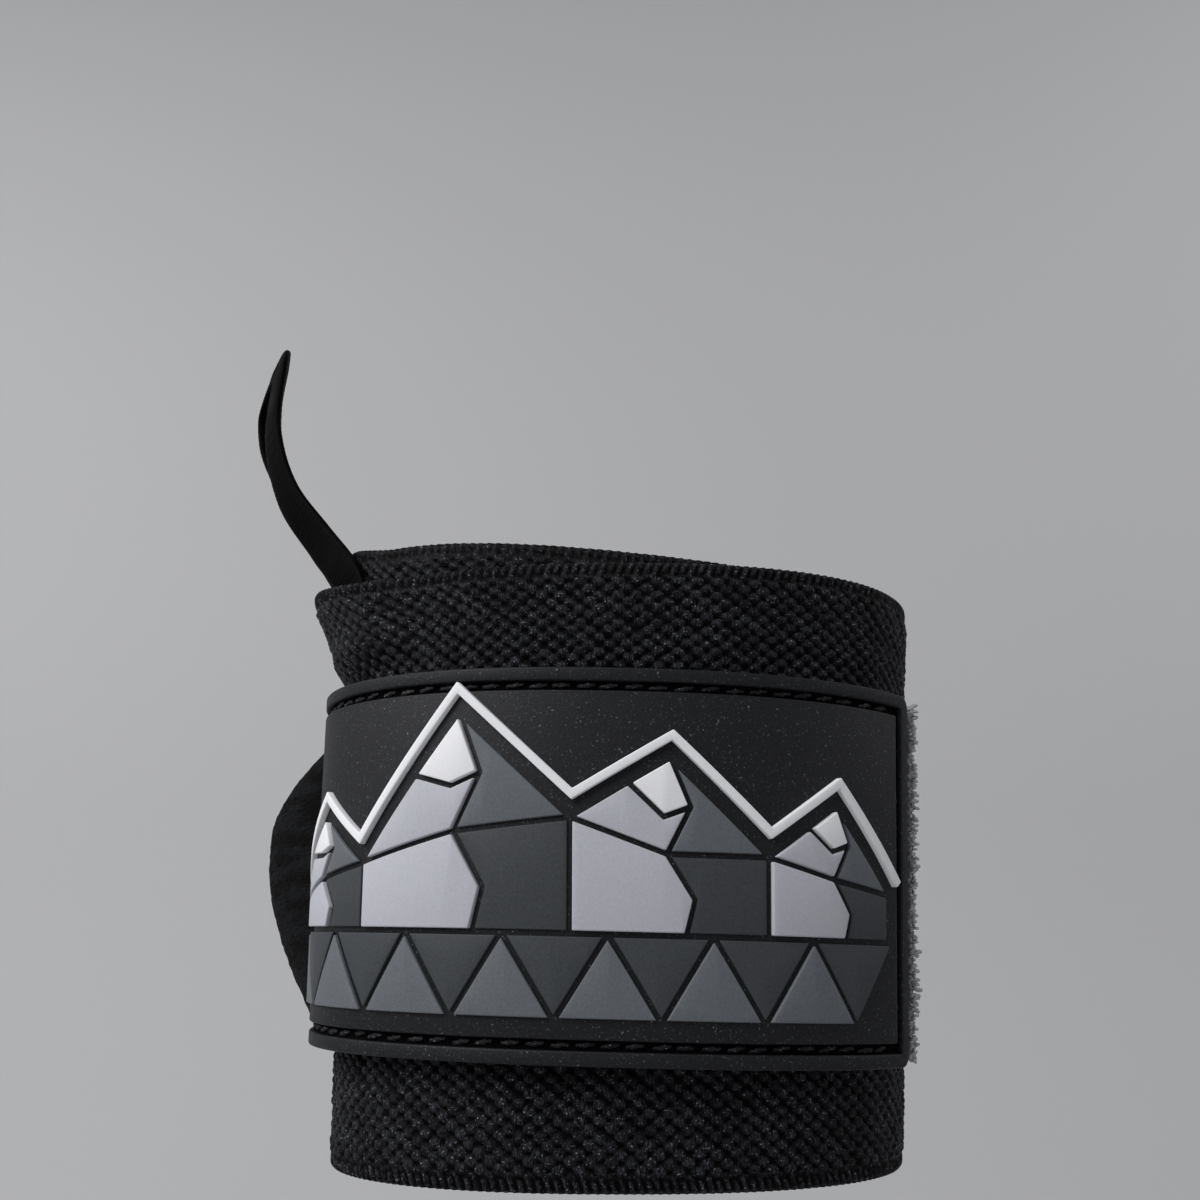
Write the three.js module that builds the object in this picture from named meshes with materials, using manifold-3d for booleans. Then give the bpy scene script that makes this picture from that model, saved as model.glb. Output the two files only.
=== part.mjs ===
// A lifter's wrist wrap, fastened as it is worn. A long elastic band is wound about three turns round the
// wrist. A narrow elastic loop for the thumb rises from its inner end, and a soft strap at its outer end
// carries the closing tab: hook tape below and a moulded rubber patch above.
//
// Millimetres. The origin is the middle of the wrist at half the height of the outer turns. +Z runs along
// the forearm towards the hand, -Y is the back of the wrist, where the patch lies, and -X is the thumb's side.
// A place round the wrist is given in turns, counted from +X towards +Y.

import * as THREE from "three";
import { mergeVertices } from "three/addons/utils/BufferGeometryUtils.js";
import Module from "manifold-3d";

const wasm = await Module();
wasm.setup();

const { smoothstep, degToRad } = THREE.MathUtils;

// Driving sizes
const clearance = 0.3;

const wristWidth = 66;
const wristDepth = 49;
const sectionPower = 2.3; // 2 is an ellipse, and more is squarer

const bandWidth = 76;
const bandThickness = 1.8;
const bandStart = 0.465;
const bandTurns = 2.94;
const innerTurnRise = 7.5; // how far the first turn stands above the others at its start
const loopPull = 2; // how far the thumb loop pulls the edge beside it up

const strapWidth = 44;
const strapThickness = 1.1;
const strapRoot = 9; // the stretch that is sewn on the band's end
const humpHeight = 17.5; // how far the strap stands off the wrist
const humpEdge = 0.42; // how much of that is left at the strap's edges, as a share
const humpCentre = 7; // the height of its crest above the middle of the band
const humpRoot = 3; // how far before the band's end it starts to stand off
const humpCrest = 8; // how far before the patch its crest lies
const humpFoot = 0.8; // how far before the patch it is down again

const patchLength = 110;
const patchHeight = 47;
const patchThickness = 1.9;
const patchCorner = 1.6;
const patchTip = 3.915;
const patchTilt = 1.33; // degrees
const flangeWidth = 1.7;
const grooveWidth = 1.2;
const grooveDepth = 0.8;
const grooveCorner = 0.5;
const hookMargin = 2.6; // how far the hook tape shows past the patch's tip
const hookFlare = 2.2; // how far its end turns up there
const hookTapeInset = 0.8; // how far it stays back along the long sides
const tapeSeam = 8; // how far in from the patch's start the tape takes over from the strap

const loopWidth = 6;
const loopThickness = 1.5;
const loopHeight = 47;
const loopDepth = 30;
const loopLean = 23;

const black = 0x17181a;

// The wrist from the forearm's edge of the band to the hand's edge. Heights are shares of the band's width,
// and the reaches are shares of half the wrist's width or depth.
const wristSections = [
  { height: -0.5, thumbSide: 1.0, littleSide: 0.95, depth: 0.92 },
  { height: -0.33, thumbSide: 1.0, littleSide: 0.975, depth: 0.965 },
  { height: 0, thumbSide: 1.01, littleSide: 1.03, depth: 1.0 },
  { height: 0.33, thumbSide: 1.01, littleSide: 1.08, depth: 1.04 },
  { height: 0.42, thumbSide: 1.03, littleSide: 1.1, depth: 1.055 },
  { height: 0.5, thumbSide: 1.11, littleSide: 1.115, depth: 1.07 },
  { height: 0.62, thumbSide: 1.2, littleSide: 1.13, depth: 1.09 },
];

// A reach of the wrist at a height, on a smooth line through the sections.
function reachAt(height, column) {
  const rows = wristSections;
  const last = rows.length - 1;
  const h = THREE.MathUtils.clamp(height, rows[0].height, rows[last].height);
  const i = Math.min(rows.findLastIndex((row) => row.height <= h), last - 1);
  const slope = (k) => {
    const below = rows[Math.max(k - 1, 0)];
    const above = rows[Math.min(k + 1, last)];
    return (above[column] - below[column]) / (above.height - below.height);
  };
  const span = rows[i + 1].height - rows[i].height;
  const t = (h - rows[i].height) / span;
  const t2 = t * t;
  const t3 = t2 * t;
  return (
    (2 * t3 - 3 * t2 + 1) * rows[i][column] +
    (t3 - 2 * t2 + t) * span * slope(i) +
    (3 * t2 - 2 * t3) * rows[i + 1][column] +
    (t3 - t2) * span * slope(i + 1)
  );
}

// A point on the rounded section of the wrist, lifted off it and at a height z.
function sectionPoint(angle, lift, z) {
  const c = Math.cos(angle);
  const s = Math.sin(angle);
  const height = z / bandWidth;
  const across = (wristWidth / 2) * reachAt(height, c < 0 ? "thumbSide" : "littleSide") + lift;
  const deep = (wristDepth / 2) * reachAt(height, "depth") + lift;
  const power = 2 / sectionPower;
  return new THREE.Vector3(
    across * Math.sign(c) * Math.abs(c) ** power,
    deep * Math.sign(s) * Math.abs(s) ** power,
    z,
  );
}

// The length of the wrist's section up to each of many equal angles, which turns a place in turns into an angle.
const ringSteps = 720;
const ringLengths = [0];
for (let k = 1; k <= ringSteps; k++) {
  const before = sectionPoint((2 * Math.PI * (k - 1)) / ringSteps, 0, 0);
  const here = sectionPoint((2 * Math.PI * k) / ringSteps, 0, 0);
  ringLengths.push(ringLengths[k - 1] + here.distanceTo(before));
}
const wristGirth = ringLengths[ringSteps];

function angleAt(turn) {
  const length = (turn - Math.floor(turn)) * wristGirth;
  const k = Math.min(ringLengths.findLastIndex((known) => known <= length), ringSteps - 1);
  const part = (length - ringLengths[k]) / (ringLengths[k + 1] - ringLengths[k]);
  return (2 * Math.PI * (k + part)) / ringSteps;
}

function onWrist(turn, lift, z) {
  return sectionPoint(angleAt(turn), lift, z);
}

// Each turn lies on the one before it.
const turnPitch = bandThickness + clearance;
const bandEnd = bandStart + bandTurns;

function spiralLift(turn) {
  return turnPitch * (turn - bandStart);
}

// The ends of the thumb loop lie between the first turn and the second, which lifts the later turns' upper
// edge there.
const loopFeet = {
  front: { turn: 0.558, face: -60 },
  back: { turn: 0.51, face: -88 },
};
const loopPlace = (loopFeet.front.turn + loopFeet.back.turn) / 2;
const coverReach = { full: 0.055, none: 0.1 };
const coverHeight = { none: 0.33, full: 0.4 };

function bandLift(turn, z) {
  const spread = Math.abs(turn - Math.floor(turn) - loopPlace);
  const beside = 1 - smoothstep(spread, coverReach.full, coverReach.none);
  const above = smoothstep(z, bandWidth * coverHeight.none, bandWidth * coverHeight.full);
  const later = turn > bandStart + 0.5 ? 1 : 0;
  return spiralLift(turn) + (loopThickness + 4 * clearance) * beside * above * later;
}

// A length along a strip that stands off the wrist, in turns.
function inTurns(length, lift) {
  return length / (wristGirth + 2 * Math.PI * lift);
}

// A closed skin over a row of rings. Each ring runs up one face of a strip and back down the other.
function skin(rings) {
  const count = rings[0].length;
  const index = [];
  const at = (ring, i) => ring * count + (i % count);
  const quad = (a, b, c, d) => index.push(a, b, c, a, c, d);
  for (let ring = 0; ring < rings.length - 1; ring++) {
    for (let i = 0; i < count; i++) {
      quad(at(ring, i), at(ring, i + 1), at(ring + 1, i + 1), at(ring + 1, i));
    }
  }
  const end = rings.length - 1;
  for (let i = 0; i < count / 2 - 1; i++) {
    quad(at(0, i), at(0, count - 1 - i), at(0, count - 2 - i), at(0, i + 1));
    quad(at(end, i), at(end, i + 1), at(end, count - 2 - i), at(end, count - 1 - i));
  }
  const geometry = new THREE.BufferGeometry();
  geometry.setFromPoints(rings.flat());
  geometry.setIndex(index);
  return geometry;
}

// The band's edges are woven thinner than its middle.
const bandRows = [
  { height: -0.5, thickness: 0.5 },
  { height: -0.485, thickness: 1 },
  { height: -0.25, thickness: 1 },
  { height: 0, thickness: 1 },
  { height: 0.2, thickness: 1 },
  { height: 0.33, thickness: 1 },
  { height: 0.4, thickness: 1 },
  { height: 0.485, thickness: 1 },
  { height: 0.5, thickness: 0.5 },
];

function evenly(from, to, steps) {
  return Array.from({ length: steps + 1 }, (_, k) => from + ((to - from) * k) / steps);
}

// A strip wound round the wrist through a row of places. lift is how far its inner face stands off the
// wrist, and rise how far a point of it moves up.
function woundStrip({ places, width, thickness, rows, lift, rise }) {
  const rings = places.map((turn) => {
    const face = (side) =>
      rows.map((row) => {
        const z = width * row.height + rise(turn, row.height);
        const outward = (thickness / 2) * (1 + side * row.thickness);
        return onWrist(turn, lift(turn, z) + outward, z);
      });
    return [...face(-1), ...face(1).reverse()];
  });
  return skin(rings);
}

// The first turn starts high and comes down to the others in half a turn, and the thumb loop pulls every
// turn's upper edge up a little beside it.
const loopPullReach = 0.07;

function bandRise(turn, height) {
  const start = THREE.MathUtils.clamp((turn - bandStart) * 2, 0, 1);
  const spread = Math.abs(turn - Math.floor(turn) - loopPlace) / loopPullReach;
  const pull = loopPull * smoothstep(height, 0.3, 0.5) * smoothstep(1 - spread, 0, 1);
  return (innerTurnRise * (1 + Math.cos(Math.PI * start))) / 2 + pull;
}

function elasticBand() {
  const stepsPerTurn = 40;
  return woundStrip({
    places: evenly(bandStart, bandEnd, Math.round(bandTurns * stepsPerTurn)),
    width: bandWidth,
    thickness: bandThickness,
    rows: bandRows,
    lift: bandLift,
    rise: bandRise,
  });
}

// The patch's own length in turns, where its outer face lies, and the places that the tab's layers share.
const patchLift = (turn) => spiralLift(turn) + strapThickness + clearance;
const tabLift = patchLift(patchTip) + patchThickness;
const patchStart = patchTip - inTurns(patchLength, tabLift);
const strapStart = bandEnd - inTurns(strapRoot, tabLift);
const seamPlace = patchStart + inTurns(tapeSeam, tabLift);
const hookTip = patchTip + inTurns(hookMargin, tabLift);

// The soft strap is sewn on the band's end, stands off the thumb's side of the wrist in a hump and runs in
// under the patch. The hump is highest near half the height of the band. The strap's edges are free, so they
// stand off less, and the hump is open above and below.
const endSlack = 3 * clearance; // it follows the band's end this far past it
const humpStart = bandEnd - inTurns(humpRoot, tabLift);
const humpPeak = patchStart - inTurns(humpCrest, tabLift);
const humpEnd = patchStart - inTurns(humpFoot, tabLift);

function humpLift(turn, z) {
  const along =
    turn < humpPeak
      ? smoothstep(turn, humpStart, humpPeak)
      : 1 - smoothstep(turn, humpPeak, humpEnd);
  const edge = (strapWidth / 2) * Math.sign(z - humpCentre) - humpCentre;
  const fromCrest = THREE.MathUtils.clamp((z - humpCentre) / Math.abs(edge), -1, 1);
  const across = humpEdge + (1 - humpEdge) * Math.cos((Math.PI / 2) * fromCrest);
  return humpHeight * along * across;
}

function strapLift(turn, z) {
  const overBandEnd = turnPitch * (1 - smoothstep(turn, bandEnd + inTurns(endSlack, tabLift), humpPeak));
  return spiralLift(turn) + overBandEnd + humpLift(turn, z);
}

function tabTilt(turn) {
  const fromMiddle = (turn - (patchStart + patchTip) / 2) * (patchLength / (patchTip - patchStart));
  return -Math.tan(degToRad(patchTilt)) * fromMiddle;
}

function evenRows(count) {
  return Array.from({ length: count }, (_, k) => ({ height: k / (count - 1) - 0.5, thickness: 1 }));
}

function softStrap() {
  return woundStrip({
    places: evenly(strapStart, seamPlace - inTurns(clearance / 2, tabLift), 25),
    width: strapWidth,
    thickness: strapThickness,
    rows: evenRows(11),
    lift: strapLift,
    rise: tabTilt,
  });
}

// The tape's end turns up where it comes out from under the patch.
const hookFlareStart = patchTip + inTurns(clearance, tabLift);

function hookLift(turn) {
  return spiralLift(turn) + hookFlare * smoothstep(turn, hookFlareStart, hookTip);
}

function hookTape() {
  const seam = seamPlace + inTurns(clearance / 2, tabLift);
  return woundStrip({
    places: [...evenly(seam, patchTip, 21), ...evenly(hookFlareStart, hookTip, 3)],
    width: patchHeight - 2 * hookTapeInset,
    thickness: strapThickness,
    rows: evenRows(6),
    lift: hookLift,
    rise: tabTilt,
  });
}

// Solids for cutting and joining
function solidOf(geometry) {
  const bare = geometry.index ? geometry.toNonIndexed() : geometry.clone();
  bare.deleteAttribute("normal");
  bare.deleteAttribute("uv");
  const merged = mergeVertices(bare, 1e-4);
  return new wasm.Manifold(
    new wasm.Mesh({
      numProp: 3,
      vertProperties: merged.attributes.position.array,
      triVerts: new Uint32Array(merged.index.array),
    }),
  );
}

function trianglesOf(solid) {
  const mesh = solid.getMesh();
  const point = (i) => new THREE.Vector3().fromArray(mesh.vertProperties, mesh.numProp * i);
  const triangles = [];
  for (let t = 0; t < mesh.triVerts.length; t += 3) {
    triangles.push([0, 1, 2].map((corner) => point(mesh.triVerts[t + corner])));
  }
  return triangles;
}

// Cuts flat polygons at each step along an axis, so that a flat piece can then bend smoothly.
function cutAlong(polygons, axis, low, high, count) {
  let pieces = polygons;
  for (let k = 1; k < count; k++) {
    const place = low + ((high - low) * k) / count;
    pieces = pieces.flatMap((polygon) => splitAt(polygon, axis, place));
  }
  return pieces;
}

function splitAt(polygon, axis, place) {
  const nearPlane = 1e-4;
  const side = polygon.map((p) => {
    const away = p.getComponent(axis) - place;
    return Math.abs(away) < nearPlane ? 0 : Math.sign(away);
  });
  if (!side.includes(1) || !side.includes(-1)) return [polygon];
  const halves = { "-1": [], 1: [] };
  polygon.forEach((p, i) => {
    const j = (i + 1) % polygon.length;
    const next = polygon[j];
    if (side[i] <= 0) halves[-1].push(p);
    if (side[i] >= 0) halves[1].push(p);
    if (side[i] * side[j] < 0) {
      // The same end is always taken first, so that both faces at an edge get the same point.
      const [a, b] = side[i] < 0 ? [p, next] : [next, p];
      const share = (place - a.getComponent(axis)) / (b.getComponent(axis) - a.getComponent(axis));
      const cut = a.clone().lerp(b, share).setComponent(axis, place);
      halves[-1].push(cut);
      halves[1].push(cut);
    }
  });
  return [halves[-1], halves[1]];
}

// Moves each corner of the polygons with a function and gives them back as one geometry.
function bent(polygons, move) {
  const corners = polygons.flatMap((polygon) =>
    polygon.slice(2).flatMap((p, i) => [polygon[0], polygon[i + 1], p]),
  );
  const geometry = new THREE.BufferGeometry().setFromPoints(corners.map(move));
  return mergeVertices(geometry, 1e-3);
}

// The patch lies flat while it is built: x runs along it to its tip, y up the wrist and z out of its face.
function prism(shape, from, to, curveSegments = 12) {
  const geometry = new THREE.ExtrudeGeometry(shape, {
    depth: to - from,
    bevelEnabled: false,
    curveSegments,
  });
  return geometry.translate(0, 0, from);
}

function roundedOutline(Kind, halfLength, halfHeight, radius) {
  return new Kind()
    .absarc(halfLength - radius, halfHeight - radius, radius, 0, Math.PI / 2)
    .absarc(radius - halfLength, halfHeight - radius, radius, Math.PI / 2, Math.PI)
    .absarc(radius - halfLength, radius - halfHeight, radius, Math.PI, 1.5 * Math.PI)
    .absarc(halfLength - radius, radius - halfHeight, radius, 1.5 * Math.PI, 2 * Math.PI);
}

const grooveOuter = { length: patchLength / 2 - flangeWidth, height: patchHeight / 2 - flangeWidth };
const field = { length: grooveOuter.length - grooveWidth, height: grooveOuter.height - grooveWidth };

function patchPlate() {
  const cornerSegments = 3;
  const plate = roundedOutline(THREE.Shape, patchLength / 2, patchHeight / 2, patchCorner);
  const ring = roundedOutline(THREE.Shape, grooveOuter.length, grooveOuter.height, grooveCorner);
  ring.holes.push(roundedOutline(THREE.Path, field.length, field.height, grooveCorner));
  const groove = prism(ring, patchThickness - grooveDepth, patchThickness + 1, cornerSegments);
  return solidOf(prism(plate, 0, patchThickness, cornerSegments)).subtract(solidOf(groove));
}

// The raised picture is a plain range of peaks under a skyline, behind a row of foothills. Places are shares
// of half the field's length or height. The valley is the low point of the skyline to the right of each peak.
const peaks = [
  { at: -0.62, top: 0.28, valleyAt: -0.44, valley: -0.02 },
  { at: -0.16, top: 0.86, valleyAt: 0.12, valley: 0.24 },
  { at: 0.36, top: 0.6, valleyAt: 0.6, valley: 0.04 },
  { at: 0.78, top: 0.36, valleyAt: 0.95, valley: -0.14 },
];
const rangeStart = { at: -0.88, height: -0.28 };
const rangeFloor = -0.42;
const foothills = { count: 7, from: -0.93, to: 0.97, low: -0.9 };
const reliefHeight = { white: 0.8, light: 0.65, middle: 0.5, dark: 0.35 };
const reliefGap = 0.7;
const skylineGap = 1.7;
const skylineWidth = 1.1;

const fieldPoint = (at, height) => new THREE.Vector2(field.length * at, field.height * height);

// Each side of a closed outline is moved in by a distance, and the corners go where the moved sides meet.
function shrunk(points, distance) {
  const count = points.length;
  const sides = points.map((p, i) => {
    const along = points[(i + 1) % count].clone().sub(p).normalize();
    const inward = new THREE.Vector2(-along.y, along.x);
    return { start: p.clone().addScaledVector(inward, distance), along };
  });
  return sides.map((side, i) => crossing(sides[(i + count - 1) % count], side));
}

function crossing(a, b) {
  const turn = a.along.cross(b.along);
  if (Math.abs(turn) < 1e-3) return b.start.clone();
  const share = b.start.clone().sub(a.start).cross(b.along) / turn;
  return a.start.clone().addScaledVector(a.along, share);
}

// A stroke of even width beside an open line, with mitred corners.
function strokeBeside(line, near, far) {
  const moved = (distance) => {
    const sides = line.slice(1).map((p, i) => {
      const along = p.clone().sub(line[i]).normalize();
      const left = new THREE.Vector2(-along.y, along.x);
      return { start: line[i].clone().addScaledVector(left, distance), along, left };
    });
    const corners = sides.slice(1).map((side, i) => crossing(sides[i], side));
    const last = sides[sides.length - 1];
    return [sides[0].start, ...corners, line[line.length - 1].clone().addScaledVector(last.left, distance)];
  };
  return [...moved(near).reverse(), ...moved(far)];
}

// One peak has a white cap, light faces to the left of its ridge and darker ones to the right.
function peakFaces(peak, before) {
  const apex = fieldPoint(peak.at, peak.top);
  const left = fieldPoint(before.valleyAt, before.valley);
  const right = fieldPoint(peak.valleyAt, peak.valley);
  const leftFoot = fieldPoint(before.valleyAt, rangeFloor);
  const rightFoot = fieldPoint(peak.valleyAt, rangeFloor);
  const foot = fieldPoint(peak.at + (peak.valleyAt - peak.at) * 0.15, rangeFloor);
  const bend = (share, sway) => {
    const reach = peak.valleyAt - before.valleyAt;
    return apex.clone().lerp(foot, share).add(fieldPoint(reach * sway, 0));
  };
  const ridge = [bend(0.28, 0.08), bend(0.55, -0.06), bend(0.8, 0.06)];
  const capLeft = apex.clone().lerp(left, 0.42);
  const capDip = bend(0.34, -0.06);
  return [
    { tone: "white", outline: [apex, capLeft, capDip, ridge[0]] },
    { tone: "light", outline: [capLeft, left, ridge[1], ridge[0], capDip] },
    { tone: "light", outline: [left, leftFoot, foot, ridge[2], ridge[1]] },
    { tone: "middle", outline: [apex, ridge[0], ridge[1], right] },
    { tone: "dark", outline: [ridge[1], ridge[2], foot, rightFoot, right] },
  ];
}

// The foothills are a row of three-cornered faces, point up and point down in turn.
function hillFaces() {
  const { count, from, to, low } = foothills;
  const pitch = (to - from) / (count + 0.5);
  return Array.from({ length: count }, (_, k) => {
    const left = from + pitch * k;
    const below = [fieldPoint(left, low), fieldPoint(left + pitch, low)];
    const above = [fieldPoint(left + pitch / 2, rangeFloor), fieldPoint(left + 1.5 * pitch, rangeFloor)];
    return [
      { tone: "middle", outline: [...below, above[0]] },
      { tone: "dark", outline: [below[1], above[1], above[0]] },
    ];
  }).flat();
}

function skyline() {
  const line = [fieldPoint(rangeStart.at, rangeStart.height)];
  for (const peak of peaks) {
    line.push(fieldPoint(peak.at, peak.top), fieldPoint(peak.valleyAt, peak.valley));
  }
  return strokeBeside(line, skylineGap, skylineGap + skylineWidth);
}

function reliefOutlines() {
  const faces = peaks.flatMap((peak, i) =>
    peakFaces(peak, i ? peaks[i - 1] : { valleyAt: rangeStart.at, valley: rangeStart.height }),
  );
  const apart = [...faces, ...hillFaces()].map(({ tone, outline }) => ({
    tone,
    outline: shrunk(outline, reliefGap / 2),
  }));
  return [...apart, { tone: "white", outline: skyline() }];
}

function rubberPatch() {
  const overlap = 0.2;
  let solid = patchPlate();
  for (const { tone, outline } of reliefOutlines()) {
    const top = patchThickness + reliefHeight[tone];
    solid = solid.add(solidOf(prism(new THREE.Shape(outline), patchThickness - overlap, top)));
  }
  const halfLength = patchLength / 2;
  const inStrips = cutAlong(trianglesOf(solid), 0, -halfLength, halfLength, 24);
  return bent(inStrips, (p) => {
    const turn = patchStart + ((p.x + halfLength) / patchLength) * (patchTip - patchStart);
    return onWrist(turn, patchLift(turn) + p.z, p.y + tabTilt(turn));
  });
}

// The thumb loop comes out over the upper edge of the second turn. Each row is a point of its middle line, in
// shares of the loop's lean, depth and height, from the middle of the places where it comes out. face is the
// way that its flat side looks, in degrees.
const loopRoute = [
  { lean: 0.25, depth: 0.02, height: 0.2, face: -54 },
  { lean: 0.54, depth: 0.15, height: 0.4, face: -56 },
  { lean: 0.71, depth: 0.25, height: 0.65, face: -60 },
  { lean: 0.73, depth: 0.36, height: 0.93, face: -62 },
  { lean: 0.86, depth: 0.68, height: 1.0, face: -64 },
  { lean: 1.0, depth: 0.94, height: 0.92, face: -66 },
  { lean: 0.98, depth: 0.97, height: 0.76, face: -68 },
  { lean: 0.77, depth: 0.81, height: 0.53, face: -72 },
  { lean: 0.48, depth: 0.49, height: 0.32, face: -78 },
  { lean: 0.26, depth: 0.28, height: 0.15, face: -82 },
];
const tuckShares = [0.82, 0.9, 1]; // of the height of the band's upper edge, from the loop's end up

function thumbLoop() {
  const edgeHeight = bandWidth / 2 + loopPull;
  const tucked = ({ turn }) =>
    tuckShares.map((share) => {
      const off = spiralLift(turn) + bandThickness + 2.5 * clearance + loopThickness / 2;
      return onWrist(turn, off, edgeHeight * share);
    });
  const front = tucked(loopFeet.front);
  const back = tucked(loopFeet.back).reverse();
  const middle = front[front.length - 1].clone().lerp(back[0], 0.5);
  const route = loopRoute.map(
    (row) =>
      new THREE.Vector3(
        middle.x - loopLean * row.lean,
        middle.y + loopDepth * row.depth,
        middle.z + loopHeight * row.height,
      ),
  );
  const curve = new THREE.CatmullRomCurve3([...front, ...route, ...back], false, "centripetal");
  const faces = [
    ...front.map(() => loopFeet.front.face),
    ...loopRoute.map((row) => row.face),
    ...back.map(() => loopFeet.back.face),
  ];
  const steps = 56;
  const rings = [];
  for (let k = 0; k <= steps; k++) {
    const share = k / steps;
    const place = share * (faces.length - 1);
    const i = Math.min(Math.floor(place), faces.length - 2);
    const face = degToRad(THREE.MathUtils.lerp(faces[i], faces[i + 1], place - i));
    const along = curve.getTangent(share);
    const level = new THREE.Vector3(1, 0, 0).addScaledVector(along, -along.x).normalize();
    const upright = along.clone().cross(level);
    const across = level.clone().multiplyScalar(Math.cos(face)).addScaledVector(upright, Math.sin(face));
    rings.push(strapRing(curve.getPoint(share), across, along.clone().cross(across)));
  }
  return skin(rings);
}

// The section of the loop is flat with rounded edges.
const strapProfile = [
  { across: -0.5, thickness: 0.4 },
  { across: -0.36, thickness: 1 },
  { across: 0.36, thickness: 1 },
  { across: 0.5, thickness: 0.4 },
];

function strapRing(centre, across, out) {
  const face = (side) =>
    strapProfile.map((row) =>
      centre
        .clone()
        .addScaledVector(across, loopWidth * row.across)
        .addScaledVector(out, (side * loopThickness * row.thickness) / 2),
    );
  return [...face(-1), ...face(1).reverse()];
}

// The assembly
const wrap = new THREE.Group();

function addPart(name, geometry, { color = black, roughness }) {
  const material = new THREE.MeshStandardMaterial({ color, roughness, metalness: 0 });
  const mesh = new THREE.Mesh(geometry, material);
  mesh.name = name;
  wrap.add(mesh);
}

addPart("elastic_band", elasticBand(), { roughness: 0.85 });
addPart("thumb_loop", thumbLoop(), { roughness: 0.8 });
addPart("soft_strap", softStrap(), { roughness: 1 });
addPart("hook_tape", hookTape(), { color: 0x2b2c2e, roughness: 0.7 });
addPart("rubber_patch", rubberPatch(), { color: 0x2c2e31, roughness: 0.6 });

export default wrap;
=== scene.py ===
# %% [markdown]
# # A wrist wrap
#
# The wrap is a long strip of woven elastic, wound three times round a hollow oval, with a narrow elastic
# loop at its upper edge and a closing tab under a moulded rubber patch. Everything on it is a flat strip
# that was bent round, and so it is modelled here: each piece is made flat, with its weave, stitches or
# relief, and one function then winds it round the oval.

# %% Load the frame
import math
import random

import bpy
import numpy as np
from mathutils import Matrix, Vector


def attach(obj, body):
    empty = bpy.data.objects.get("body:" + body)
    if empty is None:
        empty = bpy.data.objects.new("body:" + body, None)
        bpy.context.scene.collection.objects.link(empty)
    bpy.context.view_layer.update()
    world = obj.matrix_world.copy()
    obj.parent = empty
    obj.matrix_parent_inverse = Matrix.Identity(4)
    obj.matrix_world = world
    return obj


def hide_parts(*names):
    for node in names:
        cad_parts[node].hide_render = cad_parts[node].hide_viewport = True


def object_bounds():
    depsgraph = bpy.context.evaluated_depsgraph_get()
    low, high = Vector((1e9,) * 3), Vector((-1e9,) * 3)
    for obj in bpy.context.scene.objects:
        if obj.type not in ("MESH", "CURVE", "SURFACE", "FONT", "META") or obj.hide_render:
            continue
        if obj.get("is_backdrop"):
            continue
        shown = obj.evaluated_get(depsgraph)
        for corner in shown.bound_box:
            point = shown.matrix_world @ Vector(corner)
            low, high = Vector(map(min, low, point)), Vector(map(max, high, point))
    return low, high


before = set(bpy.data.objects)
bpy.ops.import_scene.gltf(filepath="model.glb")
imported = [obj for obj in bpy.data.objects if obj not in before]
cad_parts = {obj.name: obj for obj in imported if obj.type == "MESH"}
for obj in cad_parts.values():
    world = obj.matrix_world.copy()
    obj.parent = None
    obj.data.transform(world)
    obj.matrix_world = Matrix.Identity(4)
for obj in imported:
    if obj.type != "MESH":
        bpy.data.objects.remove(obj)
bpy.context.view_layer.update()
bpy.ops.object.select_all(action="DESELECT")
random.seed(7)
print("CAD nodes:", ", ".join(sorted(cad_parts)))

# %% [markdown]
# ## Sizes
#
# All sizes are in millimetres, as a pattern cutter would give them, and turn into metres only when a mesh
# is written. A place round the wrap is given in turns, counted from the right by way of the back, so 0.5
# is the left, where the loop stands, and 0.75 is the front, where the patch lies.

# %% Sizes of the wrap
MM = 0.001
clearance = 0.3
wrist_width = 66
wrist_depth = 49
section_power = 2.3

band_width = 76
band_thickness = 1.8
band_start = 0.465
band_turns = 2.94
inner_turn_rise = 7.5
loop_pull = 2

strap_width = 44
strap_thickness = 1.1
strap_root = 9
hump_height = 17.5
hump_edge = 0.42  # how much of the hump's height is left at the strap's edges
hump_centre = 7
hump_root = 3
hump_crest = 8
hump_foot = 0.8

patch_length = 110
patch_height = 47
patch_thickness = 1.9
patch_corner = 1.6
patch_tip = 3.915
patch_tilt = 1.33
flange_width = 1.7
groove_width = 1.2
groove_depth = 0.8
hook_margin = 2.6
hook_flare = 2.2
hook_tape_inset = 0.8
tape_seam = 8

loop_width = 6
loop_thickness = 1.5
loop_height = 47
loop_depth = 30
loop_lean = 23
print(f"band {band_width} mm wide, patch {patch_length} by {patch_height} mm, loop {loop_height} mm high")

# %% [markdown]
# ## The oval inside
#
# As worn, the wrap is no cylinder: its section is a rounded oval that widens towards its upper edge. The
# table gives its reach at a few heights, which are shares of the band's width. The reach is a share of
# half the oval's width or depth, and a smooth curve runs through the values.

# %% The section at any height
wrist_sections = {
    "height": np.array([-0.5, -0.33, 0.0, 0.33, 0.42, 0.5, 0.62]),
    "left": np.array([1.0, 1.0, 1.01, 1.01, 1.03, 1.11, 1.2]),
    "right": np.array([0.95, 0.975, 1.03, 1.08, 1.1, 1.115, 1.13]),
    "depth": np.array([0.92, 0.965, 1.0, 1.04, 1.055, 1.07, 1.09]),
}


def smooth(value, low, high):
    t = np.clip((value - low) / (high - low), 0, 1)
    return t * t * (3 - 2 * t)


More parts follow.
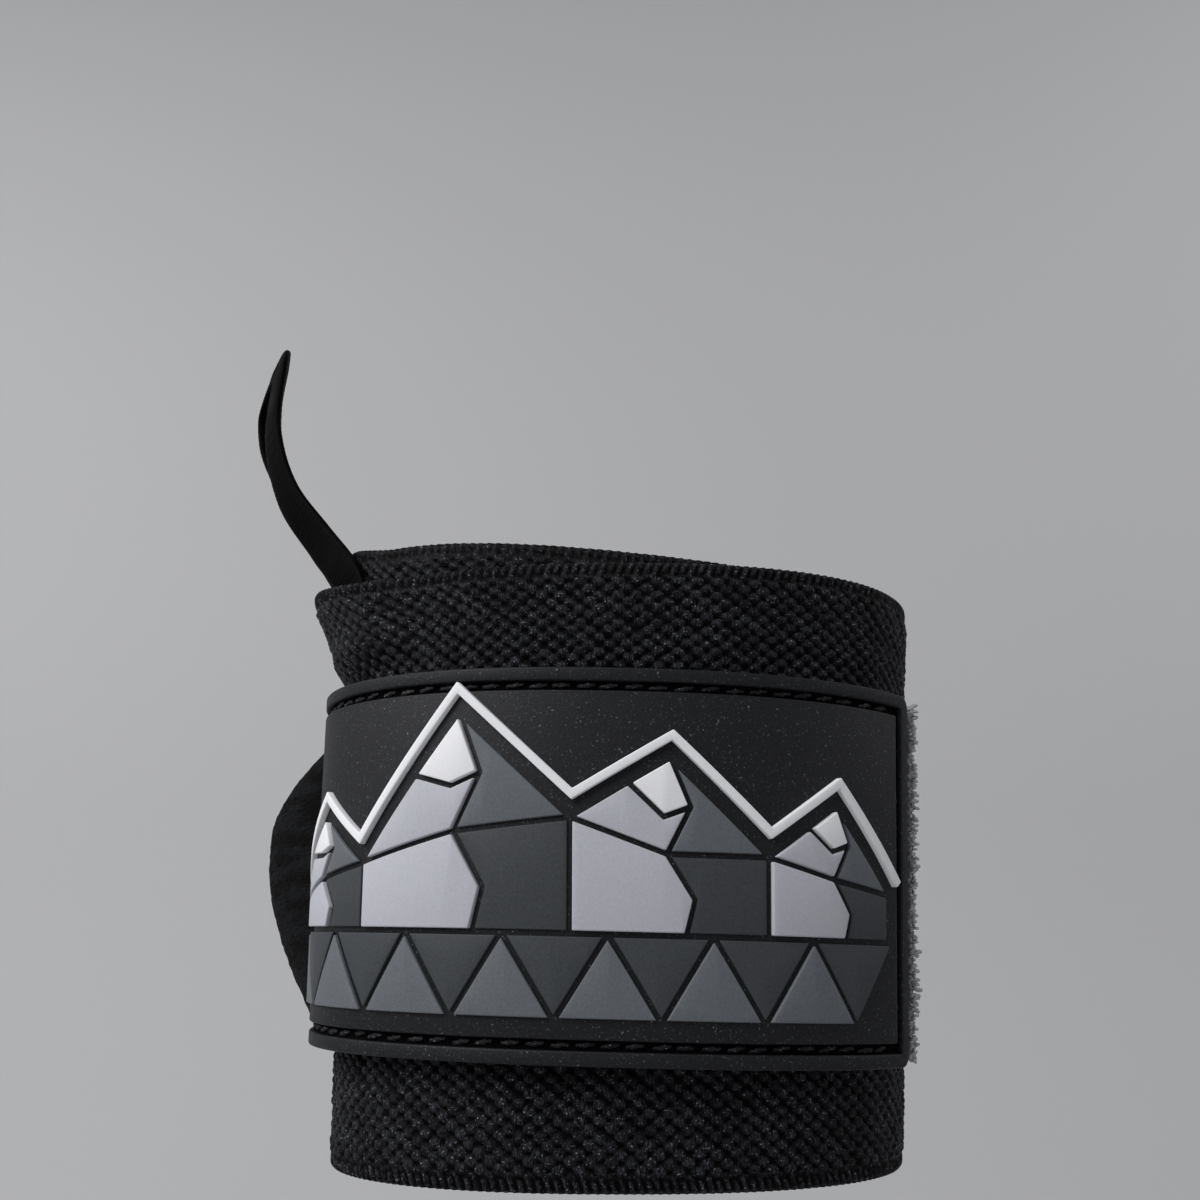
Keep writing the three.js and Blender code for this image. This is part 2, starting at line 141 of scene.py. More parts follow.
def reach_at(height, column):
    """A column of the table at any height, by cubic curves that share their slope at each row."""
    rows = wrist_sections["height"]
    values = wrist_sections[column]
    last = len(rows) - 1
    before = np.maximum(np.arange(last + 1) - 1, 0)
    after = np.minimum(np.arange(last + 1) + 1, last)
    slope = (values[after] - values[before]) / (rows[after] - rows[before])
    h = np.clip(height, rows[0], rows[-1])
    i = np.clip(np.searchsorted(rows, h, side="right") - 1, 0, last - 1)
    span = rows[i + 1] - rows[i]
    t = (h - rows[i]) / span
    t2 = t * t
    t3 = t2 * t
    return (
        (2 * t3 - 3 * t2 + 1) * values[i]
        + (t3 - 2 * t2 + t) * span * slope[i]
        + (3 * t2 - 2 * t3) * values[i + 1]
        + (t3 - t2) * span * slope[i + 1]
    )


def signed_power(values, power):
    """A power that keeps the sign. A low one turns a circle's sine and cosine into a rounded box."""
    return np.sign(values) * np.abs(values) ** power


def section_point(angle, lift, z):
    """Points on the oval section, lifted off it, as an array with a row for each."""
    c, s, lift, z = np.broadcast_arrays(np.cos(angle), np.sin(angle), lift, z)
    height = z / band_width
    side = np.where(c < 0, reach_at(height, "left"), reach_at(height, "right"))
    across = wrist_width / 2 * side + lift
    deep = wrist_depth / 2 * reach_at(height, "depth") + lift
    power = 2 / section_power
    return np.stack([across * signed_power(c, power), deep * signed_power(s, power), z], axis=-1)


ring_angles = np.linspace(0, 2 * math.pi, 7201)
ring = section_point(ring_angles, 0, 0)
ring_lengths = np.concatenate([[0], np.cumsum(np.linalg.norm(np.diff(ring, axis=0), axis=1))])
wrist_girth = ring_lengths[-1]


def on_wrist(turn, lift, z):
    """Points round the oval, for places in turns, lifts off it and heights."""
    angle = np.interp((turn - np.floor(turn)) * wrist_girth, ring_lengths, ring_angles)
    return section_point(angle, lift, z)


print(f"oval: {wrist_girth:.0f} mm round at its middle")

# %% [markdown]
# ## How each layer lies
#
# The band is a spiral: each turn lies on the one before. The loop's ends are tucked between the first
# turn and the second, which lifts the upper edge there, and the soft strap behind the patch stands off in
# a hump, where it was pushed together as the tab was closed.

# %% The layers' lifts and rises
turn_pitch = band_thickness + clearance
band_end = band_start + band_turns
loop_feet = {"front": {"turn": 0.558, "face": -60}, "back": {"turn": 0.51, "face": -88}}
loop_place = (loop_feet["front"]["turn"] + loop_feet["back"]["turn"]) / 2
swell_turns = (0.055, 0.1)  # the later turns are lifted so far round from the loop's feet
swell_heights = (0.33, 0.4)  # and from this share of the band's width upwards
swell_height = loop_thickness + 4 * clearance
pull_turns = 0.07  # the loop pulls the edge up so far round from its feet
pull_heights = (0.3, 0.5)


def spiral_lift(turn):
    return turn_pitch * (turn - band_start)


def band_lift(turn, z):
    spread = np.abs(turn - np.floor(turn) - loop_place)
    beside = 1 - smooth(spread, *swell_turns)
    above = smooth(z / band_width, *swell_heights)
    later = np.where(turn > band_start + 0.5, 1, 0)
    return spiral_lift(turn) + swell_height * beside * above * later


def band_rise(turn, height):
    """How much higher the band runs: it starts above the rest and sinks in half a turn."""
    start = np.clip((turn - band_start) * 2, 0, 1)
    spread = np.abs(turn - np.floor(turn) - loop_place) / pull_turns
    pull = loop_pull * smooth(height, *pull_heights) * smooth(1 - spread, 0, 1)
    return inner_turn_rise * (1 + np.cos(math.pi * start)) / 2 + pull


def in_turns(length, lift):
    """A length in mm as a share of a turn at this lift."""
    return length / (wrist_girth + 2 * math.pi * lift)


def patch_lift(turn):
    return spiral_lift(turn) + strap_thickness + clearance


tab_lift = patch_lift(patch_tip) + patch_thickness
patch_start = patch_tip - in_turns(patch_length, tab_lift)
strap_start = band_end - in_turns(strap_root, tab_lift)
seam_place = patch_start + in_turns(tape_seam, tab_lift)
hook_tip = patch_tip + in_turns(hook_margin, tab_lift)
hook_flare_start = patch_tip + in_turns(clearance, tab_lift)
hump_start = band_end - in_turns(hump_root, tab_lift)
hump_peak = patch_start - in_turns(hump_crest, tab_lift)
hump_end = patch_start - in_turns(hump_foot, tab_lift)
end_slack = 3 * clearance


def hump_lift(turn, z):
    """The soft strap's hump: it rises and falls along the strap and is highest between its two edges."""
    rising = smooth(turn, hump_start, hump_peak)
    falling = 1 - smooth(turn, hump_peak, hump_end)
    along = np.where(turn < hump_peak, rising, falling)
    edge = np.abs(strap_width / 2 * np.sign(z - hump_centre) - hump_centre)
    from_crest = np.clip(np.abs(z - hump_centre) / edge, 0, 1)
    across = hump_edge + (1 - hump_edge) * np.cos(math.pi / 2 * from_crest)
    return hump_height * along * across


def strap_lift(turn, z):
    over_band_end = turn_pitch * (1 - smooth(turn, band_end + in_turns(end_slack, tab_lift), hump_peak))
    return spiral_lift(turn) + over_band_end + hump_lift(turn, z)


tab_girth = wrist_girth + 2 * math.pi * tab_lift
crease_height = 0.55
crease_full = 0.35  # share of the hump's height from which the creases are full
# A crease every 6.6 mm. Each sways as it crosses the strap and fades towards the edges, all in radians.
crease_turning = {"along": 0.95, "sway": 0.9, "sway per mm": 0.16, "fade per mm": 0.11, "fade start": 0.4}


def creased_strap_lift(turn, z):
    """The strap's lift with the small creases of a strip that was pushed together."""
    along = (turn - hump_start) * tab_girth
    sway = crease_turning["sway"] * np.sin(z * crease_turning["sway per mm"])
    fade = np.cos(z * crease_turning["fade per mm"] + crease_turning["fade start"])
    crease = np.sin(along * crease_turning["along"] + sway) * fade
    share = hump_lift(turn, z) / hump_height
    return strap_lift(turn, z) + crease_height * crease * smooth(share, 0, crease_full)


def hook_lift(turn, z):
    return spiral_lift(turn) + hook_flare * smooth(turn, hook_flare_start, hook_tip)


def tab_tilt(turn):
    """How much higher or lower the tab runs at a place, because it was closed at a slant."""
    from_middle = (turn - (patch_start + patch_tip) / 2) * (patch_length / (patch_tip - patch_start))
    return -math.tan(math.radians(patch_tilt)) * from_middle


print(f"patch: from {patch_start:.3f} to {patch_tip:.3f} turns")

# %% [markdown]
# ## Camera, floor and light
#
# The camera stands low in front of the patch and looks up a little, as in the photograph. The studio is a
# pale floor that curves up into a wall. A big soft lamp at the upper left is the key light, a weak one at
# the right keeps the black rubber from closing up, and two more brighten the wall.

# %% Camera
frame_pixels = 1200
focal_pixels = 1238
sensor_width = 36
camera_place = Vector((-2.5, -186, -11.9)) * MM
camera_pitch = 16.25

camera_data = bpy.data.cameras.new("camera")
camera_data.sensor_width = sensor_width
camera_data.sensor_fit = "HORIZONTAL"
camera_data.lens = sensor_width * focal_pixels / frame_pixels
camera_data.clip_start = 0.01
camera = bpy.data.objects.new("camera", camera_data)
camera.location = camera_place
camera.rotation_euler = (math.radians(90 + camera_pitch), 0, 0)
bpy.context.collection.objects.link(camera)
bpy.context.scene.camera = camera
print(f"camera: {camera_data.lens:.1f} mm lens, {-camera_place.y:.3f} m away")


# %% Colours and nodes
def linear(hex_colour):
    """A colour such as '#2b2d30', from sRGB to the linear values that Blender works in."""
    parts = [int(hex_colour[i : i + 2], 16) / 255 for i in (1, 3, 5)]
    return tuple(c / 12.92 if c <= 0.04045 else ((c + 0.055) / 1.055) ** 2.4 for c in parts) + (1.0,)


def add_node(material, kind, settings=(), links=()):
    """Adds a node, sets its properties and inputs by name, and links its inputs to other sockets."""
    node = material.node_tree.nodes.new(kind)
    for name, value in dict(settings).items():
        if isinstance(name, str) and hasattr(node, name):
            setattr(node, name, value)
        else:
            node.inputs[name].default_value = value
    for name, socket in dict(links).items():
        material.node_tree.links.new(socket, node.inputs[name])
    return node


def new_material(name, settings):
    """A material whose surface shader has these settings."""
    material = bpy.data.materials.new(name)
    material.use_nodes = True
    shader = material.node_tree.nodes["Principled BSDF"]
    for socket, value in settings.items():
        shader.inputs[socket].default_value = value
    return material, shader


# %% Floor and backdrop
floor_drop = 0.26
wall_distance = 0.7
floor_depth = 3
studio_width = 5
wall_height = 2.2
curve_reach = 0.35

bpy.ops.mesh.primitive_plane_add(size=1, location=(0, wall_distance - floor_depth / 2, -floor_drop))
studio = bpy.context.object
studio.name = "studio"
studio.scale = (studio_width, floor_depth, 1)
bpy.ops.object.transform_apply(location=True, rotation=True, scale=True)
bpy.ops.object.mode_set(mode="EDIT")
bpy.ops.mesh.select_all(action="DESELECT")
bpy.ops.mesh.select_mode(type="EDGE")
bpy.ops.object.mode_set(mode="OBJECT")
for edge in studio.data.edges:
    ends = [studio.data.vertices[i].co.y for i in edge.vertices]
    edge.select = min(ends) > wall_distance / 2
bpy.ops.object.mode_set(mode="EDIT")
bpy.ops.mesh.extrude_region_move(TRANSFORM_OT_translate={"value": (0, 0, wall_height)})
bpy.ops.mesh.select_mode(type="VERT")
bpy.ops.object.mode_set(mode="OBJECT")
curve_up = studio.modifiers.new("curve", "BEVEL")
curve_up.width = curve_reach
curve_up.segments = 12
bpy.ops.object.modifier_apply(modifier=curve_up.name)
bpy.ops.object.shade_smooth()

paper = new_material("matt studio paper", {"Base Color": linear("#c9c9ca"), "Roughness": 0.95})[0]
studio.data.materials.append(paper)
studio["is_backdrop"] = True
print(f"studio: {studio_width} by {floor_depth} m, with a wall {wall_distance} m behind the wrap")


# %% Lights
def soft_lamp(name, place, aim, size, power):
    lamp = bpy.data.lights.new(name, "AREA")
    lamp.shape = "RECTANGLE"
    lamp.size, lamp.size_y = size
    lamp.energy = power
    holder = bpy.data.objects.new(name, lamp)
    holder.location = place
    holder.rotation_euler = (Vector(aim) - Vector(place)).to_track_quat("-Z", "Y").to_euler()
    bpy.context.collection.objects.link(holder)


soft_lamp("key", (-0.5, -0.45, 0.5), (0, 0, 0), (0.45, 0.45), 5.5)
soft_lamp("fill", (0.6, -0.4, 0.15), (0, 0, 0), (0.4, 0.6), 0.25)
soft_lamp("wall light left", (-0.9, 0.1, 0.5), (-0.2, 0.7, 0.3), (0.5, 0.8), 2.2)
soft_lamp("wall light right", (0.9, 0.1, 0.6), (0.25, 0.7, 0.4), (0.5, 0.8), 2.15)

world = bpy.data.worlds.new("studio air")
world.use_nodes = True
world.node_tree.nodes["Background"].inputs["Color"].default_value = linear("#b8babd")
world.node_tree.nodes["Background"].inputs["Strength"].default_value = 0.42
bpy.context.scene.world = world
bpy.context.scene.view_settings.view_transform = "Standard"
print("lamps:", ", ".join(lamp.name for lamp in bpy.data.lights))

# %% [markdown]
# ## Materials
#
# Nearly all of it is black, so the finishes have to be told apart by their gloss and grain: dull twisted
# polyester in the weave, a satin skin on the moulded rubber, soft pile on the strap and grey nylon hooks.
# Patterns that follow a strip read its own UV map, which holds millimetres along and across it.

# %% Woven polyester
fibre_slant = math.radians(28)
glints_per_mm = 3.6


def woven_polyester(name, pit_shade_colour, thread_colour, glint_colour, specular):
    """Twisted yarn: painted shade in the pits, fine slanting fibres on the floats, and painted glints where
    a few catch light.
    """
    material, shader = new_material(name, {"Roughness": 0.5, "Specular IOR Level": specular})
    height = add_node(material, "ShaderNodeAttribute", {"attribute_name": "lump"})
    place = add_node(material, "ShaderNodeUVMap", {"uv_map": "millimetres"})
    # Real filaments are 0.03 mm thick. They are drawn 0.2 mm wide and 0.8 mm long, which is 5 and 1.3 to
    # the millimetre, or they wouldn't show.
    fibre_lie = add_node(
        material,
        "ShaderNodeMapping",
        {"Rotation": (0, 0, fibre_slant), "Scale": (5.0, 1.3, 1)},
        {"Vector": place.outputs["UV"]},
    )
    fibres = add_node(
        material,
        "ShaderNodeTexNoise",
        {"Scale": 1.0, "Detail": 3.0, "Roughness": 0.65},
        {"Vector": fibre_lie.outputs["Vector"]},
    )
    fibre_tone = add_node(
        material,
        "ShaderNodeMapRange",
        {"From Min": 0.41, "From Max": 0.62, "To Min": 0.04, "To Max": 1.0},
        {"Value": fibres.outputs["Fac"]},
    )
    tone = add_node(
        material,
        "ShaderNodeMath",
        {"operation": "MULTIPLY"},
        {0: height.outputs["Fac"], 1: fibre_tone.outputs["Result"]},
    )
    # Painted highlights: bright spots on the floats, in the glint colour, stand in for fibres that catch
    # light.
    glint_spots = add_node(
        material,
        "ShaderNodeTexNoise",
        {"Scale": glints_per_mm, "Detail": 2.0},
        {"Vector": place.outputs["UV"]},
    )
    bright = add_node(
        material,
        "ShaderNodeMapRange",
        {"From Min": 0.62, "From Max": 0.72},
        {"Value": glint_spots.outputs["Fac"]},
    )
    on_floats = add_node(
        material,
        "ShaderNodeMath",
        {"operation": "MULTIPLY"},
        {0: height.outputs["Fac"], 1: bright.outputs["Result"]},
    )
    # A colour mix has its two colours on inputs 6 and 7, and its result on output 2.
    # Painted shade: where a float's share is low, in the pits and on the floats' sides, the pit colour is
    # used.
    shade = add_node(
        material,
        "ShaderNodeMix",
        {"data_type": "RGBA", 6: linear(pit_shade_colour), 7: linear(thread_colour)},
        {"Factor": tone.outputs["Value"]},
    )
    glint = add_node(
        material,
        "ShaderNodeMix",
        {"data_type": "RGBA", 7: linear(glint_colour)},
        {"Factor": on_floats.outputs["Value"], 6: shade.outputs[2]},
    )
    material.node_tree.links.new(glint.outputs[2], shader.inputs["Base Color"])
    bump = add_node(
        material,
        "ShaderNodeBump",
        {"Strength": 1.0, "Distance": 0.00018},
        {"Height": fibres.outputs["Fac"]},
    )
    material.node_tree.links.new(bump.outputs["Normal"], shader.inputs["Normal"])
    return material


# The black pit colour is painted shade in the pits and on the floats' sides.
elastic = woven_polyester("woven black polyester elastic", "#000000", "#3f4047", "#a6a7ae", 0.08)
# The loop's pit colour is painted shade between its ribs.
loop_elastic = woven_polyester("ribbed black polyester elastic", "#010101", "#060709", "#0c0d0f", 0.03)
print("materials:", elastic.name, "and", loop_elastic.name)


# %% Moulded rubber
def flecked_finish(name, colour, grain, painted_glint_colour=None, fleck_size=0.3, painted_glints_from=0.725):
    """A finely mottled satin skin, with flecks of a size in mm painted bright as glints of light."""
    settings = {"Roughness": 0.55, "IOR": 1.5, "Specular IOR Level": 0.25}
    material, shader = new_material(name, settings)
    place = add_node(material, "ShaderNodeTexCoord")
    mottle = add_node(
        material,
        "ShaderNodeTexNoise",
        {"Scale": 1 / (fleck_size * MM), "Detail": 3.0, "Roughness": 0.7},
        {"Vector": place.outputs["Object"]},
    )
    base = linear(colour)
    ramp = add_node(material, "ShaderNodeValToRGB", {}, {"Fac": mottle.outputs["Fac"]})
    for element, position, change in zip(ramp.color_ramp.elements, (0.3, 0.64), (-0.5, 0.5)):
        element.position = position
        element.color = [value * (1 + change * grain) for value in base[:3]] + [1]
    # Painted highlights: the top of the mottle turns to the glint colour.
    if painted_glint_colour:
        painted_glint = ramp.color_ramp.elements.new(painted_glints_from)
        painted_glint.color = linear(painted_glint_colour)
    material.node_tree.links.new(ramp.outputs["Color"], shader.inputs["Base Color"])
    bump = add_node(
        material,
        "ShaderNodeBump",
        {"Strength": grain, "Distance": 0.00006},
        {"Height": mottle.outputs["Fac"]},
    )
    material.node_tree.links.new(bump.outputs["Normal"], shader.inputs["Normal"])
    return material


rubber = {
    # The black rubber's pale flecks are painted glints.
    "ground": flecked_finish("black moulded rubber", "#16171b", 0.9, "#84878c"),
    "white": flecked_finish("white moulded rubber", "#efeff2", 0.05),
    "light": flecked_finish("light grey moulded rubber", "#b9bac2", 0.12),
    "middle": flecked_finish("mid grey moulded rubber", "#63676c", 0.25),
    "dark": flecked_finish("dark grey moulded rubber", "#3d4044", 0.35),
}
print("rubber:", ", ".join(rubber))


# %% Pile, hooks and thread
pile_patch_size = 2.0  # mm over which the pile lies the same way
nap_size = 0.4  # mm from one tuft to the next


def brushed_pile(name, colour):
    """Brushed loop pile: it scatters light at its edge and looks mottled where it lies over."""
    settings = {"Roughness": 0.95, "Specular IOR Level": 0.1, "Sheen Weight": 0.03}
    material, shader = new_material(name, settings)
    place = add_node(material, "ShaderNodeUVMap", {"uv_map": "millimetres"})
    mottle = add_node(
        material,
        "ShaderNodeTexNoise",
        {"Scale": 1 / pile_patch_size, "Detail": 4.0},
        {"Vector": place.outputs["UV"]},
    )
    shade = add_node(material, "ShaderNodeValToRGB", {}, {"Fac": mottle.outputs["Fac"]})
    shade.color_ramp.elements[0].color = linear("#020203")
    shade.color_ramp.elements[0].position = 0.42
    shade.color_ramp.elements[1].color = linear(colour)
    shade.color_ramp.elements[1].position = 0.6
    material.node_tree.links.new(shade.outputs["Color"], shader.inputs["Base Color"])
    nap = add_node(
        material,
        "ShaderNodeTexNoise",
        {"Scale": 1 / nap_size, "Detail": 5.0},
        {"Vector": place.outputs["UV"]},
    )
    bump = add_node(
        material,
        "ShaderNodeBump",
        {"Strength": 1.0, "Distance": 0.0007},
        {"Height": nap.outputs["Fac"]},
    )
    material.node_tree.links.new(bump.outputs["Normal"], shader.inputs["Normal"])
    return material


pile = brushed_pile("brushed loop pile", "#121316")
nylon = new_material(
    "grey nylon hooks",
    {"Base Color": linear("#b3b4b7"), "Roughness": 0.5, "Transmission Weight": 0.15, "IOR": 1.53},
)[0]
# The thread's bright flecks are painted glints, the sparkle of its twisted plies.
thread = flecked_finish(
    "bonded black thread", "#121317", 1.0, "#ccced5", fleck_size=0.16, painted_glints_from=0.685
)
backing = new_material(
    "grey nylon tape", {"Base Color": linear("#9c9ea2"), "Roughness": 0.6, "Specular IOR Level": 0.2}
)[0]
# Painted shade: a near-black finish for the narrow groove, where little light reaches.
shadowed = new_material(
    "painted shade on the groove floor",
    {"Base Color": linear("#030303"), "Roughness": 0.9, "Specular IOR Level": 0.05},
)[0]
print("also:", ", ".join(material.name for material in (pile, nylon, thread, backing, shadowed)))

# %% [markdown]
# ## Making and winding strips
#
# A strip's mesh is a row of rings: each ring runs along the outer face and back along the inner one. The
# corners of the flat strip are worked out first and carried round the oval afterwards, and its UV map
# keeps the flat millimetres, so that a pattern follows the cloth.

# %% A closed strip from rings
def strip_mesh(name, points, flat, lump_tone_and_shade=None):
    """points and flat are arrays of rings by corners. The strip is closed at both ends."""
    rings, count = points.shape[:2]
    grid = np.arange(rings * count).reshape(rings, count)
    beside = np.roll(grid, -1, axis=1)
    quads = np.stack([grid[:-1], grid[1:], beside[1:], beside[:-1]], axis=-1).reshape(-1, 4)
    ends = [list(grid[0]), list(grid[-1][::-1])]
    mesh = bpy.data.meshes.new(name)
    corners = (points.reshape(-1, 3) * MM).tolist()
    mesh.from_pydata(corners, [], quads.tolist() + ends)
    uv = mesh.uv_layers.new(name="millimetres")
    places = flat.reshape(-1, 2)[np.array([loop.vertex_index for loop in mesh.loops])]
    uv.data.foreach_set("uv", places.astype(np.float32).ravel())
    # The lump attribute holds painted shade as well as each float's own random tone.
    if lump_tone_and_shade is not None:
        heights = mesh.attributes.new("lump", "FLOAT", "POINT")
        heights.data.foreach_set("value", lump_tone_and_shade.astype(np.float32).ravel())
    mesh.polygons.foreach_set("use_smooth", np.ones(len(mesh.polygons), bool))
    mesh.update()
    piece = bpy.data.objects.new(name, mesh)
    bpy.context.collection.objects.link(piece)
    return piece


def finish_piece(piece, materials, node):
    """Gives a piece its finish, hides the CAD node it stands for and hangs it on the root."""
    for material in materials:
        piece.data.materials.append(material)
    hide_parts(node)
    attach(piece, "root")
    triangles = sum(len(polygon.vertices) - 2 for polygon in piece.data.polygons)
    print(f"{piece.name}: {triangles} triangles")


# %% [markdown]
# ## The elastic band
#
# Heavy wrist-wrap elastic has a pebbled face: the yarn comes up in short round floats that lie staggered
# like fish scales, with dark pits between them, and the two selvedges are bound with slanting ribs. A bump
# map would leave the outline smooth, so the floats are real: a height for each corner of the mesh draws
# them. Where the patch or another turn hides the face, the mesh keeps only a few plain rows.

# The pits and the floats' sides are also painted darker, as shade.
# %% The weave's height at a place on the band
float_spacing = 2.36  # along the band, from one float to the next in its row
row_spacing = 1.87  # across the band, from a row to the next but one
float_reach = {"along": 0.88, "across": 0.7}
float_height = 0.6
float_crown = 0.4  # a low power gives a float a flat top and steep sides
float_slope = 0.08  # how far across a float runs for each mm along
float_stray = 0.26  # the width in which floats lie round their places
shortest_float = 0.72  # as a share of float_height
taller_floats = 0.42  # how much the tallest adds to that
float_lean = 0.16
# Painted shade: a float's sides are darkened.
side_shade_power = 1.6  # a high power darkens a float's sides
darkest_float = 0.45
selvedge_width = 2.1
rib_spacing = 1.08
rib_reach = 0.3
rib_height = 0.34
rib_slant = 0.35  # spacings sideways for each mm of height
rib_fade = 0.3
short_rib = 0.72  # the reach of every second rib, as a share of selvedge_width
darkest_rib = 0.35


def scatter(column, row):
    """A number from 0 to 1 that is always the same for one float of the weave."""
    value = np.sin(column * 12.9898 + row * 78.233) * 43758.5453
    return value - np.floor(value)


def weave_height(along, across):
    """The height of the face in mm and its share of a full float, the painted shade, at places along and
    across the band.
    """
    height = np.zeros(along.shape)
    share = np.zeros(along.shape)
    for shift in (0, 0.5):
        column = np.round(along / float_spacing - shift)
        row = np.round(across / row_spacing - shift)
        number = 2 * column + 4 * shift
        stray = [(scatter(number + k, row) - 0.5) * float_stray for k in (1, 5)]
        right = along - (column + shift) * float_spacing + stray[0]
        up = across - (row + shift) * row_spacing + stray[1] + float_slope * right
        inside = 1 - (right / float_reach["along"]) ** 2 - (up / float_reach["across"]) ** 2
        here = np.clip(inside, 0, 1) ** float_crown
        lean = float_lean * right * (scatter(row, number) - 0.5)
        tall = shortest_float + taller_floats * scatter(number, row) + lean
        tone = darkest_float + (1 - darkest_float) * scatter(row + 3, number)
        height = np.maximum(height, here * tall * float_height)
        share = np.maximum(share, here**side_shade_power * tone)
    return height, share


def selvedge_height(along, from_edge):
    """The bound edge: thin slanting ribs, and every second one reaches further into the face."""
    phase = along / rib_spacing + rib_slant * from_edge
    rib = np.round(phase)
    reach = np.where(np.mod(rib, 2) > 0.5, selvedge_width, selvedge_width * short_rib)
    side = np.clip(1 - (np.abs(phase - rib) * rib_spacing / rib_reach) ** 2, 0, 1)
    share = np.sqrt(side) * np.clip((reach - from_edge) / rib_fade, 0, 1)
    # Painted shade: the share darkens the ribs' sides and the gaps between them; each rib also has its own
    # random tone.
    return rib_height * share, share * (darkest_rib + (1 - darkest_rib) * scatter(rib, 3))


# %% Stretches of the band
turn_table = np.linspace(band_start, band_end, 2000)
turns_made = turn_table - band_start
length_table = wrist_girth * turns_made + math.pi * turn_pitch * turns_made**2
face_level = 0.7 * float_height  # the plain face lies at this height of the floats
floats_begin = (selvedge_width - 0.7, selvedge_width + 0.2)
edge_rounding = {"depth": 0.45, "width": 0.6}
plain_face = {"rows": 8, "height": 0.4 * float_height, "share": 0.3}
all_but_edges = (-37, 37)
print(f"band: {length_table[-1]:.0f} mm long")


def mesh_rows(step, plain=None):
    """Heights of the mesh's rows, from the upper edge down. plain is a hidden stretch with few rows."""
    half = band_width / 2
    rows = np.arange(half - step, -half, -step)
    if plain:
        rows = rows[(rows < plain[0]) | (rows > plain[1])]
        rows = np.sort(np.append(rows, np.linspace(*plain, plain_face["rows"])))[::-1]
    return np.concatenate([[half], rows, [-half]])


def woven_face(along, rows, plain):
    """Places, heights off the face and shares of a float, on the rows of one face of the band."""
    half = band_width / 2
    u, v = np.meshgrid(along, rows, indexing="ij")
    woven, share = weave_height(u, v)
    from_edge = half - np.abs(v)
    ribs, rib_share = selvedge_height(u, from_edge)
    face = smooth(from_edge, *floats_begin)
    height = np.maximum(woven * face, ribs)
    share = np.maximum(share * face, rib_share)
    if plain:
        hidden = (v > plain[0] - 0.1) & (v < plain[1] + 0.1)
        height = np.where(hidden, plain_face["height"], height)
        share = np.where(hidden, plain_face["share"], share)
    rounding = edge_rounding["depth"] * np.clip(1 - from_edge / edge_rounding["width"], 0, 1) ** 2
    return u, v, height - face_level - rounding, share


def band_piece(name, start, end, step, outer_plain=None, inner_plain=all_but_edges):
    """A stretch of the band between two places in turns, woven on both faces where they aren't plain."""
    length = np.interp([start, end], turn_table, length_table)
    along = np.linspace(*length, max(int(round((length[1] - length[0]) / step)), 2) + 1)
    u, v, rise_out, share_out = woven_face(along, mesh_rows(step, outer_plain), outer_plain)
    inner_u, inner_v, rise_in, share_in = woven_face(along, mesh_rows(step, inner_plain)[::-1], inner_plain)
    all_u = np.concatenate([u, inner_u], axis=1)
    all_v = np.concatenate([v, inner_v], axis=1)
    thick = np.concatenate([band_thickness + rise_out, -rise_in], axis=1)
    lump_tone_and_shade = np.concatenate([share_out, share_in], axis=1)
    t = np.interp(all_u, length_table, turn_table)
    z = all_v + band_rise(t, all_v / band_width)
    points = on_wrist(t, band_lift(t, z) + thick, z)
    piece = strip_mesh(name, points, np.stack([all_u, all_v], axis=-1), lump_tone_and_shade)
    finish_piece(piece, [elastic], "elastic_band")


# %% Its turns
# The mesh is finest where the photograph looks straight at it. The first turn rises above the others.
finest, fine, coarse = 0.208, 0.34, 0.6
under_turns = (-37, 36)
under_turns_below_rise = (-37, 30)
under_patch = (-21.5, 21.5)
half_first = band_start + 0.5
last_turn = band_end - 1
band_piece("band_first_turn", band_start, half_first, fine, under_turns_below_rise, None)
band_piece("band_first_turn_palm", half_first, band_start + 1, fine, under_turns, None)
band_piece("band_middle_turns", band_start + 1, last_turn, coarse, under_turns)
band_piece("band_outer_front", last_turn, last_turn + 0.5, finest, under_patch)
band_piece("band_outer_back", last_turn + 0.5, band_end, fine)

# %% [markdown]
# ## The thumb loop
#
# The loop is a narrow flat elastic. Its middle line is the CAD's: up from under the outer turns, over in
# an arc and down again, with its face turning as it goes. Fine ribs run across it, one for each weft
# thread, and so its section grows and shrinks along the line.

# %% The loop's middle line
loop_route = [
    {"lean": 0.25, "depth": 0.02, "height": 0.2, "face": -54},
    {"lean": 0.54, "depth": 0.15, "height": 0.4, "face": -56},
    {"lean": 0.71, "depth": 0.25, "height": 0.65, "face": -60},
    {"lean": 0.73, "depth": 0.36, "height": 0.93, "face": -62},
    {"lean": 0.86, "depth": 0.68, "height": 1.0, "face": -64},
    {"lean": 1.0, "depth": 0.94, "height": 0.92, "face": -66},
    {"lean": 0.98, "depth": 0.97, "height": 0.76, "face": -68},
    {"lean": 0.77, "depth": 0.81, "height": 0.53, "face": -72},
    {"lean": 0.48, "depth": 0.49, "height": 0.32, "face": -78},
    {"lean": 0.26, "depth": 0.28, "height": 0.15, "face": -82},
]
tuck_shares = [0.82, 0.9, 1.0]
loop_samples = 520


def tucked(foot):
    """The end of the loop, as points up to the band's upper edge."""
    edge = band_width / 2 + loop_pull
    lift = spiral_lift(foot["turn"]) + band_thickness + 2.5 * clearance + loop_thickness / 2
    return [on_wrist(foot["turn"], lift, edge * share) for share in tuck_shares]


